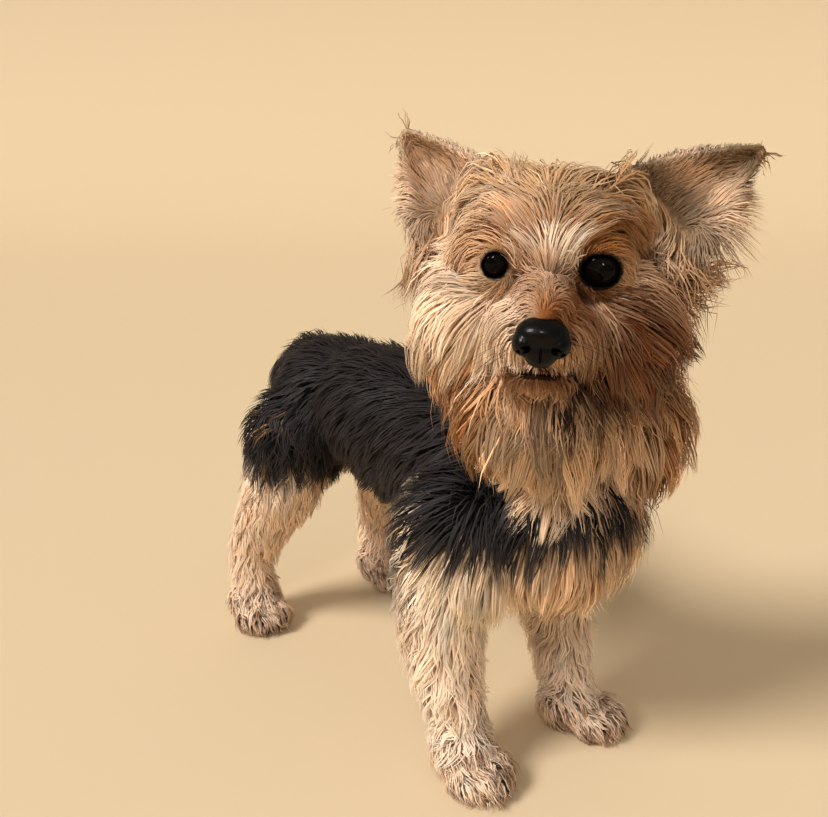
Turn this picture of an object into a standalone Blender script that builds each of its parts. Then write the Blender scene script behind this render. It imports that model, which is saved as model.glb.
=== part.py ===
# Yorkshire terrier, standing with its head turned to its right. Life size.
# Metres, Z up. The dog faces -Y and its left side is +X; the floor is Z = 0.
import math
import random

import bmesh
import bpy
from mathutils import Matrix, Vector
from mathutils.bvhtree import BVHTree

# Driving dimensions
GAP = 0.0003                     # between neighbouring parts
COAT_SHARE = 0.45                # how much of the coat's depth the solid forms take
EYE_HEIGHT = 0.264
EYE_SPACING = 0.040
EYE_RADIUS = 0.0088
FRONT_STANCE = 0.038             # centre line to each front foot
HIND_STANCE = 0.051
NOSE_WIDTH = 0.0215
PAW_TOP = 0.027
ORIGIN_SHIFT = Vector((0.005, -0.0909, 0.0))   # puts the middle of the box over the origin

# The head's own frame: origin between the eyes, X to the dog's left, Y back, Z up
HEAD_AT = Vector((-0.044, -0.047, EYE_HEIGHT))
HEAD_TURN = math.radians(-44.0)
HEAD_NOD = math.radians(8.0)
HEAD_TILT = math.radians(3.0)
HEAD = (
    Matrix.Translation(HEAD_AT)
    @ Matrix.Rotation(HEAD_TURN, 4, "Z")
    @ Matrix.Rotation(HEAD_NOD, 4, "X")
    @ Matrix.Rotation(HEAD_TILT, 4, "Y")
)

# Each form: centre, radii of the flesh, depth of the coat over it
BODY_FORMS = {
    "ribcage": ((0.000, 0.045, 0.148), (0.035, 0.066, 0.038), 0.016),
    "withers": ((0.000, 0.040, 0.163), (0.025, 0.045, 0.024), 0.012),
    "breast": ((0.000, -0.012, 0.136), (0.032, 0.026, 0.032), 0.016),
    "loin": ((0.000, 0.118, 0.157), (0.033, 0.066, 0.031), 0.013),
    "rump": ((0.000, 0.178, 0.150), (0.036, 0.040, 0.034), 0.013),
    "belly": ((0.000, 0.096, 0.136), (0.026, 0.056, 0.020), 0.011),
}
SHOULDER = ((0.036, 0.012, 0.126), (0.018, 0.026, 0.028), 0.012)
NECK_FORMS = {
    "nape": ((-0.006, 0.008, 0.216), (0.026, 0.028, 0.034), 0.016),
    "throat": ((-0.008, -0.012, 0.190), (0.028, 0.026, 0.032), 0.016),
    "mane": ((0.027, -0.020, 0.184), (0.024, 0.022, 0.030), 0.018),
}
HEAD_FORMS = {
    "skull": ((0.000, 0.034, 0.001), (0.033, 0.032, 0.024), 0.014),
    "brow": ((0.000, 0.012, 0.004), (0.027, 0.015, 0.017), 0.010),
    "muzzle": ((0.000, -0.014, -0.020), (0.014, 0.020, 0.012), 0.005),
    "jaw": ((0.000, -0.006, -0.034), (0.013, 0.022, 0.009), 0.008),
    "beard": ((0.000, 0.010, -0.062), (0.024, 0.016, 0.022), 0.020),
}
CHEEK = ((0.027, 0.022, -0.024), (0.016, 0.022, 0.022), 0.018)

# Limbs: each joint is a place (X outwards, Y, Z), radius of the flesh, depth of the coat
FRONT_LIMB = [
    ((0.036, 0.022, 0.130), 0.021, 0.010),
    ((0.040, 0.026, 0.098), 0.015, 0.010),
    ((0.039, 0.022, 0.058), 0.012, 0.009),
    ((0.037, 0.013, 0.028), 0.0105, 0.008),
    ((0.038, 0.006, 0.014), 0.011, 0.006),
]
HIND_LIMB = [
    ((0.030, 0.185, 0.130), 0.027, 0.013),
    ((0.041, 0.188, 0.100), 0.019, 0.012),
    ((0.046, 0.202, 0.074), 0.013, 0.009),
    ((0.050, 0.216, 0.048), 0.0095, 0.006),
    ((0.050, 0.213, 0.024), 0.0095, 0.005),
    ((0.049, 0.209, 0.014), 0.011, 0.005),
]
TAIL_LINE = [
    ((0.000, 0.210, 0.170), 0.012, 0.008),
    ((0.000, 0.238, 0.158), 0.009, 0.010),
    ((0.000, 0.252, 0.132), 0.007, 0.012),
    ((0.000, 0.254, 0.100), 0.004, 0.010),
]

# Ears, in the head's frame, X outwards: root, tip and width at the root
EAR = {
    "right": ((0.041, 0.038, 0.011), (0.063, 0.042, 0.041), 0.050),
    "left": ((0.049, 0.038, 0.012), (0.080, 0.040, 0.042), 0.056),
}
EAR_CUP = 0.012
EAR_THICK = 0.0024

# Eyes, lids, nose and mouth, in the head's frame
EYE_BACK = 0.0045
LID_THICK = 0.0022
EYE_OPENING = (0.0076, 0.0064)   # half width and half height between the lids
NOSE_AT = (0.0, -0.0330, -0.0180)
MOUTH_LEVEL = -0.0335
MOUTH_REACH = math.radians(58.0)
MOUTH_DROP = 0.0060
LIP_RADIUS = 0.0017
MOUTH_LINE = 0.0006

# Paws: how far each is turned outwards
PAW_TURN = {
    "front_right": math.radians(2.0),
    "front_left": math.radians(28.0),
    "hind_right": math.radians(6.0),
    "hind_left": math.radians(6.0),
}
PAW_AT = {"front": (FRONT_STANCE, 0.004), "hind": (HIND_STANCE, 0.211)}
PAW_SCALE = {"front": 1.0, "hind": 1.0}

WHOLE_VOXEL = 0.0030
WHOLE_TRIANGLES = 1700
PAW_TRIANGLES = 160
TAIL_TRIANGLES = 120
NOSE_TRIANGLES = 180
TOES = ((-0.0115, -0.0105), (-0.0042, -0.0155), (0.0042, -0.0155), (0.0115, -0.0105))

# The coat: tiers of flat locks round the line that each node grows along, rear and low tiers first.
# arc: degrees round the line from the zero direction; lean: degrees the roots look back along it;
# lie: which way the locks run; fan: how far they spread from the line; rise: how far their tips
# stand off the flesh; lift: how far they may be bent clear of a neighbour; hug: the farthest they
# may come from their own node
DOWN = Vector((0.0, 0.0, -1.0))
UP = (0.0, 0.0, 1.0)
AHEAD = (0.0, -1.0, 0.0)
BODY_TIERS = {
    "torso": [
        {"line": ((0.0, 0.044, 0.150), (0.0, 0.210, 0.154)), "rows": 6, "arc": (-130, 130), "count": 7,
         "zero": UP, "lean": -10, "lie": (0.0, 0.9, -0.55), "fan": 0.0, "lift": 0.003, "hug": 0.016,
         "length": 0.047, "width": 0.021, "rise": 0.0085},
        {"line": ((0.0, 0.016, 0.162), (0.0, 0.012, 0.100)), "rows": 4, "arc": (-105, 105), "count": 8,
         "zero": AHEAD, "lean": 0, "lie": (0.0, 0.25, -1.0), "fan": 0.05, "lift": 0.006, "hug": 0.021,
         "length": 0.040, "width": 0.018, "rise": 0.0085},
    ],
    "neck": [
        {"line": ((-0.006, 0.000, 0.216), (0.002, 0.006, 0.184)), "rows": 2, "arc": (-180, 180), "count": 8,
         "zero": AHEAD, "lean": 0, "lie": (0.0, 0.25, -1.0), "fan": 0.20, "lift": 0.010, "hug": 0.026,
         "length": 0.040, "width": 0.019, "rise": 0.010},
    ],
}
HEAD_TIERS = [
    {"line": ((0.0, 0.002, -0.034), (0.0, 0.006, -0.076)), "rows": 2, "arc": (-120, 120), "count": 9,
     "zero": AHEAD, "lean": 0, "lie": (0.0, 0.10, -1.0), "fan": 0.12, "lift": 0.010, "hug": 0.04,
     "length": 0.042, "width": 0.013, "rise": 0.008},
    {"line": ((0.0, 0.036, -0.008), (0.0, 0.050, -0.008)), "rows": 1, "arc": (-180, 180), "count": 10,
     "zero": UP, "lean": 0, "lie": (0.0, 0.6, -0.65), "fan": 0.2, "lift": 0.006, "hug": 0.03,
     "length": 0.036, "width": 0.018, "rise": 0.009},
    {"line": ((0.0, 0.018, -0.014), (0.0, 0.022, -0.014)), "rows": 1, "arc": (-160, 160), "count": 13,
     "zero": UP, "lean": 12, "lie": (0.0, 0.55, -0.65), "fan": 0.45, "lift": 0.006, "hug": 0.03,
     "length": 0.038, "width": 0.014, "rise": 0.010},
    {"line": ((0.0, 0.014, -0.014), (0.0, 0.016, -0.014)), "rows": 1, "arc": (-160, 160), "count": 13,
     "zero": UP, "lean": 40, "lie": (0.0, 0.45, -0.50), "fan": 0.55, "lift": 0.008, "hug": 0.03,
     "length": 0.032, "width": 0.012, "rise": 0.007},
    {"line": ((0.0, 0.006, -0.012), (0.0, 0.008, -0.012)), "rows": 1, "arc": (-160, 160), "count": 10,
     "zero": UP, "lean": 58, "lie": (0.0, 0.40, -0.25), "fan": 0.70, "lift": 0.006, "hug": 0.03,
     "length": 0.022, "width": 0.010, "rise": 0.005},
    {"line": ((0.0, -0.012, -0.022), (0.0, -0.008, -0.022)), "rows": 1, "arc": (-140, 140), "count": 8,
     "zero": UP, "lean": 15, "lie": (0.0, 0.6, -0.70), "fan": 0.4, "lift": 0.004, "hug": 0.03,
     "length": 0.019, "width": 0.0075, "rise": 0.003},
]
LIMB_TIERS = {
    "front": {"rows": 3, "arc": (-180, 180), "count": 4, "zero": AHEAD, "lean": 0,
              "lie": (0.0, 0.10, -1.0), "fan": 0.10, "lift": 0.004, "hug": 0.02,
              "length": 0.028, "width": 0.015, "rise": 0.0055},
    "hind": {"rows": 3, "arc": (-180, 180), "count": 4, "zero": AHEAD, "lean": 0,
             "lie": (0.0, 0.30, -1.0), "fan": 0.10, "lift": 0.004, "hug": 0.02,
             "length": 0.028, "width": 0.015, "rise": 0.0055},
}
TAIL_TIER = {"rows": 3, "arc": (-180, 180), "count": 4, "zero": (0.0, 1.0, 0.3), "lean": 0,
             "lie": (0.0, 0.0, -1.0), "fan": 0.10, "lift": 0.004, "hug": 0.03,
             "length": 0.032, "width": 0.011, "rise": 0.007}
FRINGE = {"count": 5, "length": 0.017, "width": 0.0120, "thick": 0.0020}
LOCK_FLATNESS = 0.22             # a lock's thickness over its width
LOCK_SINK = 0.003                # how deep its root goes in
LOCK_SHAPE = (0.70, 1.0, 0.80)   # its width at the root, a third and two thirds along
CLEAR_TRIES = (1.0, 0.75, 0.5)   # shares of its length tried where a neighbour is in the way
LAY_OVER = 0.0016                # how high a lock's middle lies over the lock below it

TAN = (0.56, 0.38, 0.22)
CREAM = (0.62, 0.47, 0.32)
STEEL = (0.030, 0.026, 0.026)
LEATHER = (0.012, 0.009, 0.009)
EYE = (0.010, 0.007, 0.006)
FINISHES = {
    "torso": (STEEL, 0.75),
    "tail": (STEEL, 0.75),
    "nose": (LEATHER, 0.35),
    "eye_left": (EYE, 0.08),
    "eye_right": (EYE, 0.08),
    "head": (TAN, 0.75),
    "neck": (TAN, 0.75),
}

parts = bpy.data.collections.new("yorkshire_terrier")
cutters = bpy.data.collections.new("cutters")


def clearScene():
    for item in list(bpy.data.objects):
        bpy.data.objects.remove(item, do_unlink=True)
    bpy.context.scene.collection.children.link(parts)
    bpy.context.scene.collection.children.link(cutters)


def giveMaterial(item):
    colour, roughness = FINISHES.get(item.name, (CREAM, 0.75))
    material = bpy.data.materials.new(f"{item.name}_finish")
    material.use_nodes = True
    shader = material.node_tree.nodes["Principled BSDF"]
    shader.inputs["Base Color"].default_value = (*colour, 1.0)
    shader.inputs["Roughness"].default_value = roughness
    shader.inputs["Metallic"].default_value = 0.0
    item.data.materials.clear()
    item.data.materials.append(material)


def inOrder(mesh):
    # The same shape always gets its points and faces in the same order
    order = sorted(range(len(mesh.vertices)), key=lambda index: tuple(mesh.vertices[index].co))
    place = {old: new for new, old in enumerate(order)}
    faces = []
    for polygon in mesh.polygons:
        corners = [place[index] for index in polygon.vertices]
        start = corners.index(min(corners))
        faces.append(corners[start:] + corners[:start])
    fresh = bpy.data.meshes.new(mesh.name)
    fresh.from_pydata([tuple(mesh.vertices[index].co) for index in order], [], sorted(faces))
    return fresh


def addObject(name, form, collection):
    mesh = bpy.data.meshes.new(name)
    form.to_mesh(mesh)
    form.free()
    item = bpy.data.objects.new(name, inOrder(mesh))
    collection.objects.link(item)
    return item


def addEllipsoid(form, centre, radii, frame=Matrix.Identity(4), segments=24, rings=16):
    place = frame @ Matrix.Translation(centre) @ Matrix.Diagonal((*radii, 1.0))
    bmesh.ops.create_uvsphere(
        form, u_segments=segments, v_segments=rings, radius=1.0, matrix=place
    )


def addLimb(form, joints, side, share, segments=20):
    # A ball at each joint, and a cone between each two
    centres = [Vector((side * x, y, z)) for (x, y, z), flesh, coat in joints]
    radii = [flesh + share * coat for centre, flesh, coat in joints]
    for centre, radius in zip(centres, radii):
        addEllipsoid(form, centre, (radius,) * 3, segments=segments, rings=12)
    for start, end, r1, r2 in zip(centres, centres[1:], radii, radii[1:]):
        along = end - start
        turn = along.to_track_quat("Z", "Y").to_matrix().to_4x4()
        bmesh.ops.create_cone(
            form,
            cap_ends=True,
            segments=segments,
            radius1=r1,
            radius2=r2,
            depth=along.length,
            matrix=Matrix.Translation((start + end) / 2) @ turn,
        )


def applyModifiers(item):
    evaluated = item.evaluated_get(bpy.context.evaluated_depsgraph_get())
    mesh = bpy.data.meshes.new_from_object(evaluated)
    item.modifiers.clear()
    item.data = inOrder(mesh)


def blendForms(item, voxel, smoothing, triangles):
    # Overlapping forms become one smooth closed skin of about so many triangles
    remesh = item.modifiers.new("blend", "REMESH")
    remesh.mode = "VOXEL"
    remesh.voxel_size = voxel
    smooth = item.modifiers.new("smooth", "SMOOTH")
    smooth.factor = 0.5
    smooth.iterations = smoothing
    applyModifiers(item)
    thin = item.modifiers.new("thin", "DECIMATE")
    total = sum(len(face.vertices) - 2 for face in item.data.polygons)
    thin.ratio = min(1.0, triangles / total)
    thin.use_collapse_triangulate = True
    applyModifiers(item)


def boolean(item, other, operation, solver="EXACT"):
    cut = item.modifiers.new("cut", "BOOLEAN")
    cut.operation = operation
    cut.solver = solver
    if isinstance(other, bpy.types.Collection):
        cut.operand_type = "COLLECTION"
        cut.collection = other
    else:
        cut.object = other
    applyModifiers(item)


def keepLargest(item):
    form = bmesh.new()
    form.from_mesh(item.data)
    bmesh.ops.triangulate(form, faces=form.faces)
    bmesh.ops.remove_doubles(form, verts=form.verts, dist=0.000001)
    left = set(form.faces)
    best = []
    while left:
        front = [left.pop()]
        shell = list(front)
        while front:
            face = front.pop()
            for edge in (edge for edge in face.edges if len(edge.link_faces) == 2):
                for near in edge.link_faces:
                    if near in left:
                        left.remove(near)
                        front.append(near)
                        shell.append(near)
        if len(shell) > len(best):
            best = shell
    keep = set(best)
    bmesh.ops.delete(form, geom=[f for f in form.faces if f not in keep], context="FACES")
    form.to_mesh(item.data)
    form.free()
    item.data = inOrder(item.data)


def addCutterBox(name, low, high, frame=Matrix.Identity(4)):
    form = bmesh.new()
    low = Vector(low)
    high = Vector(high)
    place = frame @ Matrix.Translation((low + high) / 2) @ Matrix.Diagonal((*(high - low), 1.0))
    bmesh.ops.create_cube(form, size=1.0, matrix=place)
    box = addObject(name, form, cutters)
    box.hide_render = True
    box.display_type = "WIRE"
    return box


def copyObject(item, name, collection):
    twin = bpy.data.objects.new(name, item.data.copy())
    collection.objects.link(twin)
    return twin


def swollen(item, name, grow):
    # A copy grown along its normals, to cut a neighbour clear of it
    twin = copyObject(item, name, cutters)
    normals = [v.normal.copy() for v in twin.data.vertices]
    for vertex, normal in zip(twin.data.vertices, normals):
        vertex.co += normal * grow
    twin.hide_render = True
    twin.display_type = "WIRE"
    return twin


def planeFrame(point, normal):
    # A frame whose Z runs along the normal, to lay a big cutter box on a plane
    return Matrix.Translation(point) @ Vector(normal).to_track_quat("Z", "Y").to_matrix().to_4x4()


def grown(radii, coat):
    return [radius + COAT_SHARE * coat for radius in radii]


def makeWhole():
    form = bmesh.new()
    for centre, radii, coat in (*BODY_FORMS.values(), *NECK_FORMS.values()):
        addEllipsoid(form, centre, grown(radii, coat))
    for centre, radii, coat in HEAD_FORMS.values():
        addEllipsoid(form, centre, grown(radii, coat), HEAD)
    for side in (-1, 1):
        (x, y, z), radii, coat = CHEEK
        addEllipsoid(form, (side * x, y, z), grown(radii, coat), HEAD)
        (x, y, z), radii, coat = SHOULDER
        addEllipsoid(form, (side * x, y, z), grown(radii, coat))
        addLimb(form, FRONT_LIMB, side, COAT_SHARE)
        addLimb(form, HIND_LIMB, side, COAT_SHARE)
    whole = addObject("whole", form, cutters)
    blendForms(whole, WHOLE_VOXEL, 14, WHOLE_TRIANGLES)
    return whole


BIG = 0.6
NECK_TOP = planeFrame((-0.014, 0.000, 0.220), (-0.50, -0.62, 0.60))
NECK_FOOT = planeFrame((0.000, 0.012, 0.182), (0.00, -0.50, 0.866))
FRONT_BOX = ((0.010, -0.014, PAW_TOP), (0.120, 0.056, 0.112))
HIND_BOX = ((0.010, 0.142, PAW_TOP), (0.120, 0.280, 0.126))
PAW_BOX = {
    "front": ((0.001, -0.060, 0.0), (0.120, 0.066, PAW_TOP - GAP)),
    "hind": ((0.001, 0.142, 0.0), (0.120, 0.280, PAW_TOP - GAP)),
}


def sideBox(name, box, side, grow=0.0):
    (x1, y1, z1), (x2, y2, z2) = box
    low = (min(side * x1, side * x2) - grow, y1 - grow, z1 - grow)
    high = (max(side * x1, side * x2) + grow, y2 + grow, z2 + grow)
    return addCutterBox(name, low, high)


def halfSpace(name, frame, above, offset):
    low = (-BIG, -BIG, offset if above else -BIG)
    high = (BIG, BIG, BIG if above else -offset)
    return addCutterBox(name, low, high, frame)


def partWhole(whole):
    # The blended body is parted by thin plane cuts into its named pieces
    head = copyObject(whole, "head", parts)
    boolean(head, halfSpace("head_side", NECK_TOP, True, GAP / 2), "INTERSECT")
    neck = copyObject(whole, "neck", parts)
    boolean(neck, halfSpace("under_head", NECK_TOP, False, GAP / 2), "INTERSECT")
    boolean(neck, halfSpace("above_withers", NECK_FOOT, True, GAP / 2), "INTERSECT")
    torso = copyObject(whole, "torso", parts)
    boolean(torso, halfSpace("below_neck", NECK_FOOT, False, GAP / 2), "INTERSECT")
    boolean(torso, halfSpace("behind_head", NECK_TOP, False, GAP / 2), "INTERSECT")
    for side, word in ((-1, "right"), (1, "left")):
        for limb, box in (("front", FRONT_BOX), ("hind", HIND_BOX)):
            leg = copyObject(whole, f"{limb}_leg_{word}", parts)
            boolean(leg, sideBox(f"{limb}_{word}_box", box, side), "INTERSECT")
            reach = (box[0][:2] + (-0.05,), box[1])
            boolean(torso, sideBox(f"{limb}_{word}_gap", reach, side, GAP), "DIFFERENCE")


def makePaw(limb, side, word):
    # A pad and four toes, each with its claw, flat underneath at floor level
    x, y = PAW_AT[limb]
    turn = side * PAW_TURN[f"{limb}_{word}"]
    frame = (
        Matrix.Translation((side * x, y, 0.0))
        @ Matrix.Rotation(turn, 4, "Z")
        @ Matrix.Scale(PAW_SCALE[limb], 4)
    )
    form = bmesh.new()
    addEllipsoid(form, (0.0, 0.002, 0.013), (0.0165, 0.0165, 0.0155), frame)
    for across, ahead in TOES:
        addEllipsoid(form, (across, ahead, 0.0075), (0.0062, 0.0095, 0.0085), frame)
    paw = addObject(f"{limb}_paw_{word}", form, parts)
    blendForms(paw, 0.0016, 3, PAW_TRIANGLES)
    claws = bpy.data.collections.new("claws")
    for across, ahead in TOES:
        claw = bmesh.new()
        lean = Matrix.Rotation(math.radians(118.0), 4, "X")
        place = Matrix.Translation((across, ahead - 0.0085, 0.0050)) @ lean
        bmesh.ops.create_cone(
            claw, cap_ends=True, segments=5, radius1=0.0017, radius2=0.0005,
            depth=0.0070, matrix=frame @ place,
        )
        addObject("claw", claw, claws)
    boolean(paw, claws, "UNION")
    for claw in list(claws.objects):
        bpy.data.objects.remove(claw)
    bpy.data.collections.remove(claws)
    boolean(paw, sideBox("paw_box", PAW_BOX[limb], side), "INTERSECT")


def makeTail(torso):
    form = bmesh.new()
    addLimb(form, TAIL_LINE, 1, COAT_SHARE, segments=14)
    tail = addObject("tail", form, parts)
    blendForms(tail, 0.0025, 4, TAIL_TRIANGLES)
    boolean(tail, swollen(torso, "torso_swollen", GAP), "DIFFERENCE")


def makeEar(word, side, head):
    # A cupped leaf, open to the front, thicker at its root
    root, tip, width = EAR[word]
    root = Vector((side * root[0], root[1], root[2]))
    tip = Vector((side * tip[0], tip[1], tip[2]))
    along = (tip - root).normalized()
    face = Vector((0.0, -1.0, 0.0))
    across = along.cross(face).normalized()
    face = across.cross(along)
    length = (tip - root).length
    form = bmesh.new()
    bmesh.ops.create_grid(form, x_segments=6, y_segments=7, size=1.0)
    for vertex in form.verts:
        v = vertex.co.x
        u = (vertex.co.y + 1.0) / 2
        half = width / 2 * (1.0 - u ** 1.3) + 0.0015
        depth = EAR_CUP * (v * v) * (1.0 - 0.6 * u) - 0.004 * math.sin(math.pi * u)
        vertex.co = root + along * (u * length) + across * (v * half) + face * depth
    bmesh.ops.transform(form, matrix=HEAD, verts=form.verts)
    ear = addObject(f"ear_{word}", form, parts)
    wall = ear.modifiers.new("wall", "SOLIDIFY")
    wall.thickness = EAR_THICK
    wall.offset = 0.0
    applyModifiers(ear)
    form = bmesh.new()
    form.from_mesh(ear.data)
    bmesh.ops.recalc_face_normals(form, faces=form.faces)
    bmesh.ops.triangulate(form, faces=form.faces)
    form.to_mesh(ear.data)
    form.free()
    boolean(ear, swollen(head, "head_swollen", GAP), "DIFFERENCE")


def makeEyes(head):
    # Eyeballs in sockets, each behind a pair of lids opened as an almond
    for side, word in ((-1, "right"), (1, "left")):
        centre = Vector((side * EYE_SPACING / 2, EYE_BACK, 0.0))
        hollow = bmesh.new()
        addEllipsoid(hollow, centre + Vector((side * 0.001, -0.0125, 0.0)),
                     (0.0125, 0.0105, 0.0100), HEAD, 14, 8)
        lid = bmesh.new()
        lidRadius = EYE_RADIUS + LID_THICK
        addEllipsoid(lid, centre, (lidRadius,) * 3, HEAD, 16, 10)
        socket = bmesh.new()
        addEllipsoid(socket, centre, (EYE_RADIUS + GAP,) * 3, HEAD, 16, 10)
        opening = bmesh.new()
        halfWidth, halfHeight = EYE_OPENING
        addEllipsoid(opening, centre + Vector((0.0, -0.010, 0.0)),
                     (halfWidth, 0.011, halfHeight), HEAD, 14, 8)
        for form, name, operation in (
            (hollow, "eye_hollow", "DIFFERENCE"),
            (lid, "lid_ball", "UNION"),
            (socket, "socket", "DIFFERENCE"),
            (opening, "lid_opening", "DIFFERENCE"),
        ):
            tool = addObject(name, form, cutters)
            tool.hide_render = True
            tool.display_type = "WIRE"
            boolean(head, tool, operation)
        ball = bmesh.new()
        addEllipsoid(ball, centre, (EYE_RADIUS,) * 3, HEAD, 14, 8)
        eye = addObject(f"eye_{word}", ball, parts)
        eye.data.shade_smooth()


def makeNose(head):
    form = bmesh.new()
    x, y, z = NOSE_AT
    half = NOSE_WIDTH / 2
    addEllipsoid(form, (x, y, z), (half * 0.90, 0.0085, 0.0092), HEAD)
    for side in (-1, 1):
        wing = (side * half * 0.52, y - 0.0012, z - 0.0012)
        addEllipsoid(form, wing, (half * 0.50, 0.0070, 0.0066), HEAD)
    nose = addObject("nose", form, parts)
    blendForms(nose, 0.0008, 3, NOSE_TRIANGLES)
    for side in (-1, 1):
        hole = bmesh.new()
        tilt = Matrix.Translation((side * half * 0.46, y - 0.0078, z - 0.0012))
        tilt = tilt @ Matrix.Rotation(side * math.radians(28.0), 4, "Y")
        addEllipsoid(hole, (0.0, 0.0, 0.0), (0.0024, 0.0034, 0.0015), HEAD @ tilt, 10, 6)
        nostril = addObject("nostril", hole, cutters)
        nostril.hide_render = True
        nostril.display_type = "WIRE"
        boolean(nose, nostril, "DIFFERENCE")
    low = (-0.00035, y - 0.012, z - 0.012)
    groove = addCutterBox("philtrum", low, (0.00035, y - 0.0066, z - 0.002), HEAD)
    boolean(nose, groove, "DIFFERENCE")
    boolean(head, swollen(nose, "nose_swollen", GAP), "DIFFERENCE")


def tubeAlong(name, points, radius, collection):
    curve = bpy.data.curves.new(name, "CURVE")
    curve.dimensions = "3D"
    curve.bevel_depth = radius
    curve.bevel_resolution = 0
    curve.use_fill_caps = True
    spline = curve.splines.new("POLY")
    spline.points.add(len(points) - 1)
    for knot, point in zip(spline.points, points):
        knot.co = (*point, 1.0)
    item = bpy.data.objects.new(name, curve)
    collection.objects.link(item)
    evaluated = item.evaluated_get(bpy.context.evaluated_depsgraph_get())
    mesh = bpy.data.meshes.new_from_object(evaluated)
    bpy.data.objects.remove(item)
    form = bmesh.new()
    form.from_mesh(mesh)
    bmesh.ops.remove_doubles(form, verts=form.verts, dist=0.000001)
    bmesh.ops.recalc_face_normals(form, faces=form.faces)
    tube = addObject(name, form, collection)
    tube.hide_render = True
    tube.display_type = "WIRE"
    return tube


def muzzlePath(tree, level, drop, sink):
    # Points round the front of the muzzle at one level, falling towards the corners
    points = []
    steps = 8
    for i in range(steps + 1):
        angle = MOUTH_REACH * (2 * i / steps - 1)
        fall = drop * (abs(angle) / MOUTH_REACH) ** 1.6
        start = Vector((0.0, -0.010, level - fall))
        way = Vector((math.sin(angle), -math.cos(angle), 0.0))
        hit = tree.ray_cast(HEAD @ start, HEAD.to_3x3() @ way)
        points.append(hit[0] - hit[1] * sink)
    return points


def makeMouth(head):
    form = bmesh.new()
    form.from_mesh(head.data)
    tree = BVHTree.FromBMesh(form)
    form.free()
    upper = muzzlePath(tree, MOUTH_LEVEL + LIP_RADIUS * 0.8, MOUTH_DROP, LIP_RADIUS * 0.35)
    lower = muzzlePath(tree, MOUTH_LEVEL - LIP_RADIUS * 1.1, MOUTH_DROP, LIP_RADIUS * 0.45)
    for name, path in (("upper_lip", upper), ("lower_lip", lower)):
        boolean(head, tubeAlong(name, path, LIP_RADIUS, cutters), "UNION")
    line = muzzlePath(tree, MOUTH_LEVEL, MOUTH_DROP, -LIP_RADIUS * 0.2)
    boolean(head, tubeAlong("mouth_line", line, MOUTH_LINE, cutters), "DIFFERENCE")


def treeOf(item):
    form = bmesh.new()
    form.from_mesh(item.data)
    tree = BVHTree.FromBMesh(form)
    form.free()
    return tree


def pointOn(line, share):
    # The place and direction at a share of the way along a line of points
    points = [Vector(point) for point in line]
    lengths = [(b - a).length for a, b in zip(points, points[1:])]
    left = share * sum(lengths)
    for a, b, length in zip(points, points[1:], lengths):
        if left <= length:
            return a.lerp(b, left / length), (b - a).normalized()
        left -= length
    return points[-1], (points[-1] - points[-2]).normalized()


def raised(point, tree, height):
    # Moves a point that is closer than this to a surface out to this height above it
    place, normal, face, distance = tree.find_nearest(point)
    away = point - place
    inside = away.dot(normal) < 0.0
    if distance > (0.012 if inside else height):
        return point
    way = normal if inside or distance < 0.0002 else away.normalized()
    return place + way * height


def laidOver(point, normal, laid):
    # Lifts a point over the locks that are already there
    reach = 0.006
    place = laid.ray_cast(point + normal * reach, -normal, reach * 1.5)[0] if laid else None
    if place is None:
        return point
    above = (place - point).dot(normal) + LAY_OVER
    return point + normal * above if above > 0.0 else point


def lockPath(root, normal, lie, tier, own, laid, others, length, rise, swing):
    # From inside the flesh out along the lie, over what is in the way
    lie = (lie - normal * lie.dot(normal)).normalized()
    thick = tier["width"] * LOCK_FLATNESS
    twist = Matrix.Rotation(swing, 3, normal)
    way = (twist @ lie + normal * 0.35).normalized()
    points = [root - normal * LOCK_SINK - way * LOCK_SINK]
    point = root.copy()
    for step in (1, 2, 3):
        point = point + way * (length / 3)
        point = raised(point, own, rise * (step / 3) ** 0.8)
        point = laidOver(point, normal, laid)
        straight = point
        for tree in others:
            point = raised(point, tree, thick + tier["width"] * 0.12 + GAP)
        if (point - straight).length > tier["lift"] or own.find_nearest(point)[3] > tier["hug"]:
            return None
        way = (way + lie * 0.35 + DOWN * 0.22).normalized()
        points.append(point)
    return points


def addLock(form, points, up, width, thick):
    # Flat sections with a low ridge, which widen from the root and close to a tip
    rings = []
    for index, share in enumerate(LOCK_SHAPE):
        along = (points[index + 1] - points[max(index - 1, 0)]).normalized()
        across = along.cross(up).normalized()
        rise = across.cross(along)
        half = width * share / 2
        deep = thick * (0.75 + 0.25 * share) / 2
        corners = (across * half - rise * deep, rise * deep, across * -half - rise * deep)
        rings.append([form.verts.new(points[index] + corner) for corner in corners])
    tip = form.verts.new(points[3])
    form.faces.new(rings[0])
    for low, high in zip(rings, rings[1:]):
        for k in range(3):
            n = (k + 1) % 3
            form.faces.new((low[k], high[k], high[n]))
            form.faces.new((low[k], high[n], low[n]))
    for k in range(3):
        form.faces.new((rings[-1][k], tip, rings[-1][(k + 1) % 3]))
    bmesh.ops.recalc_face_normals(form, faces=form.faces)
    bmesh.ops.triangulate(form, faces=form.faces)


def treeOfLocks(locks):
    corners = []
    faces = []
    for form in locks:
        form.verts.index_update()
        first = len(corners)
        corners += [vertex.co.copy() for vertex in form.verts]
        faces += [[first + vertex.index for vertex in face.verts] for face in form.faces]
    return BVHTree.FromPolygons(corners, faces) if locks else None


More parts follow.
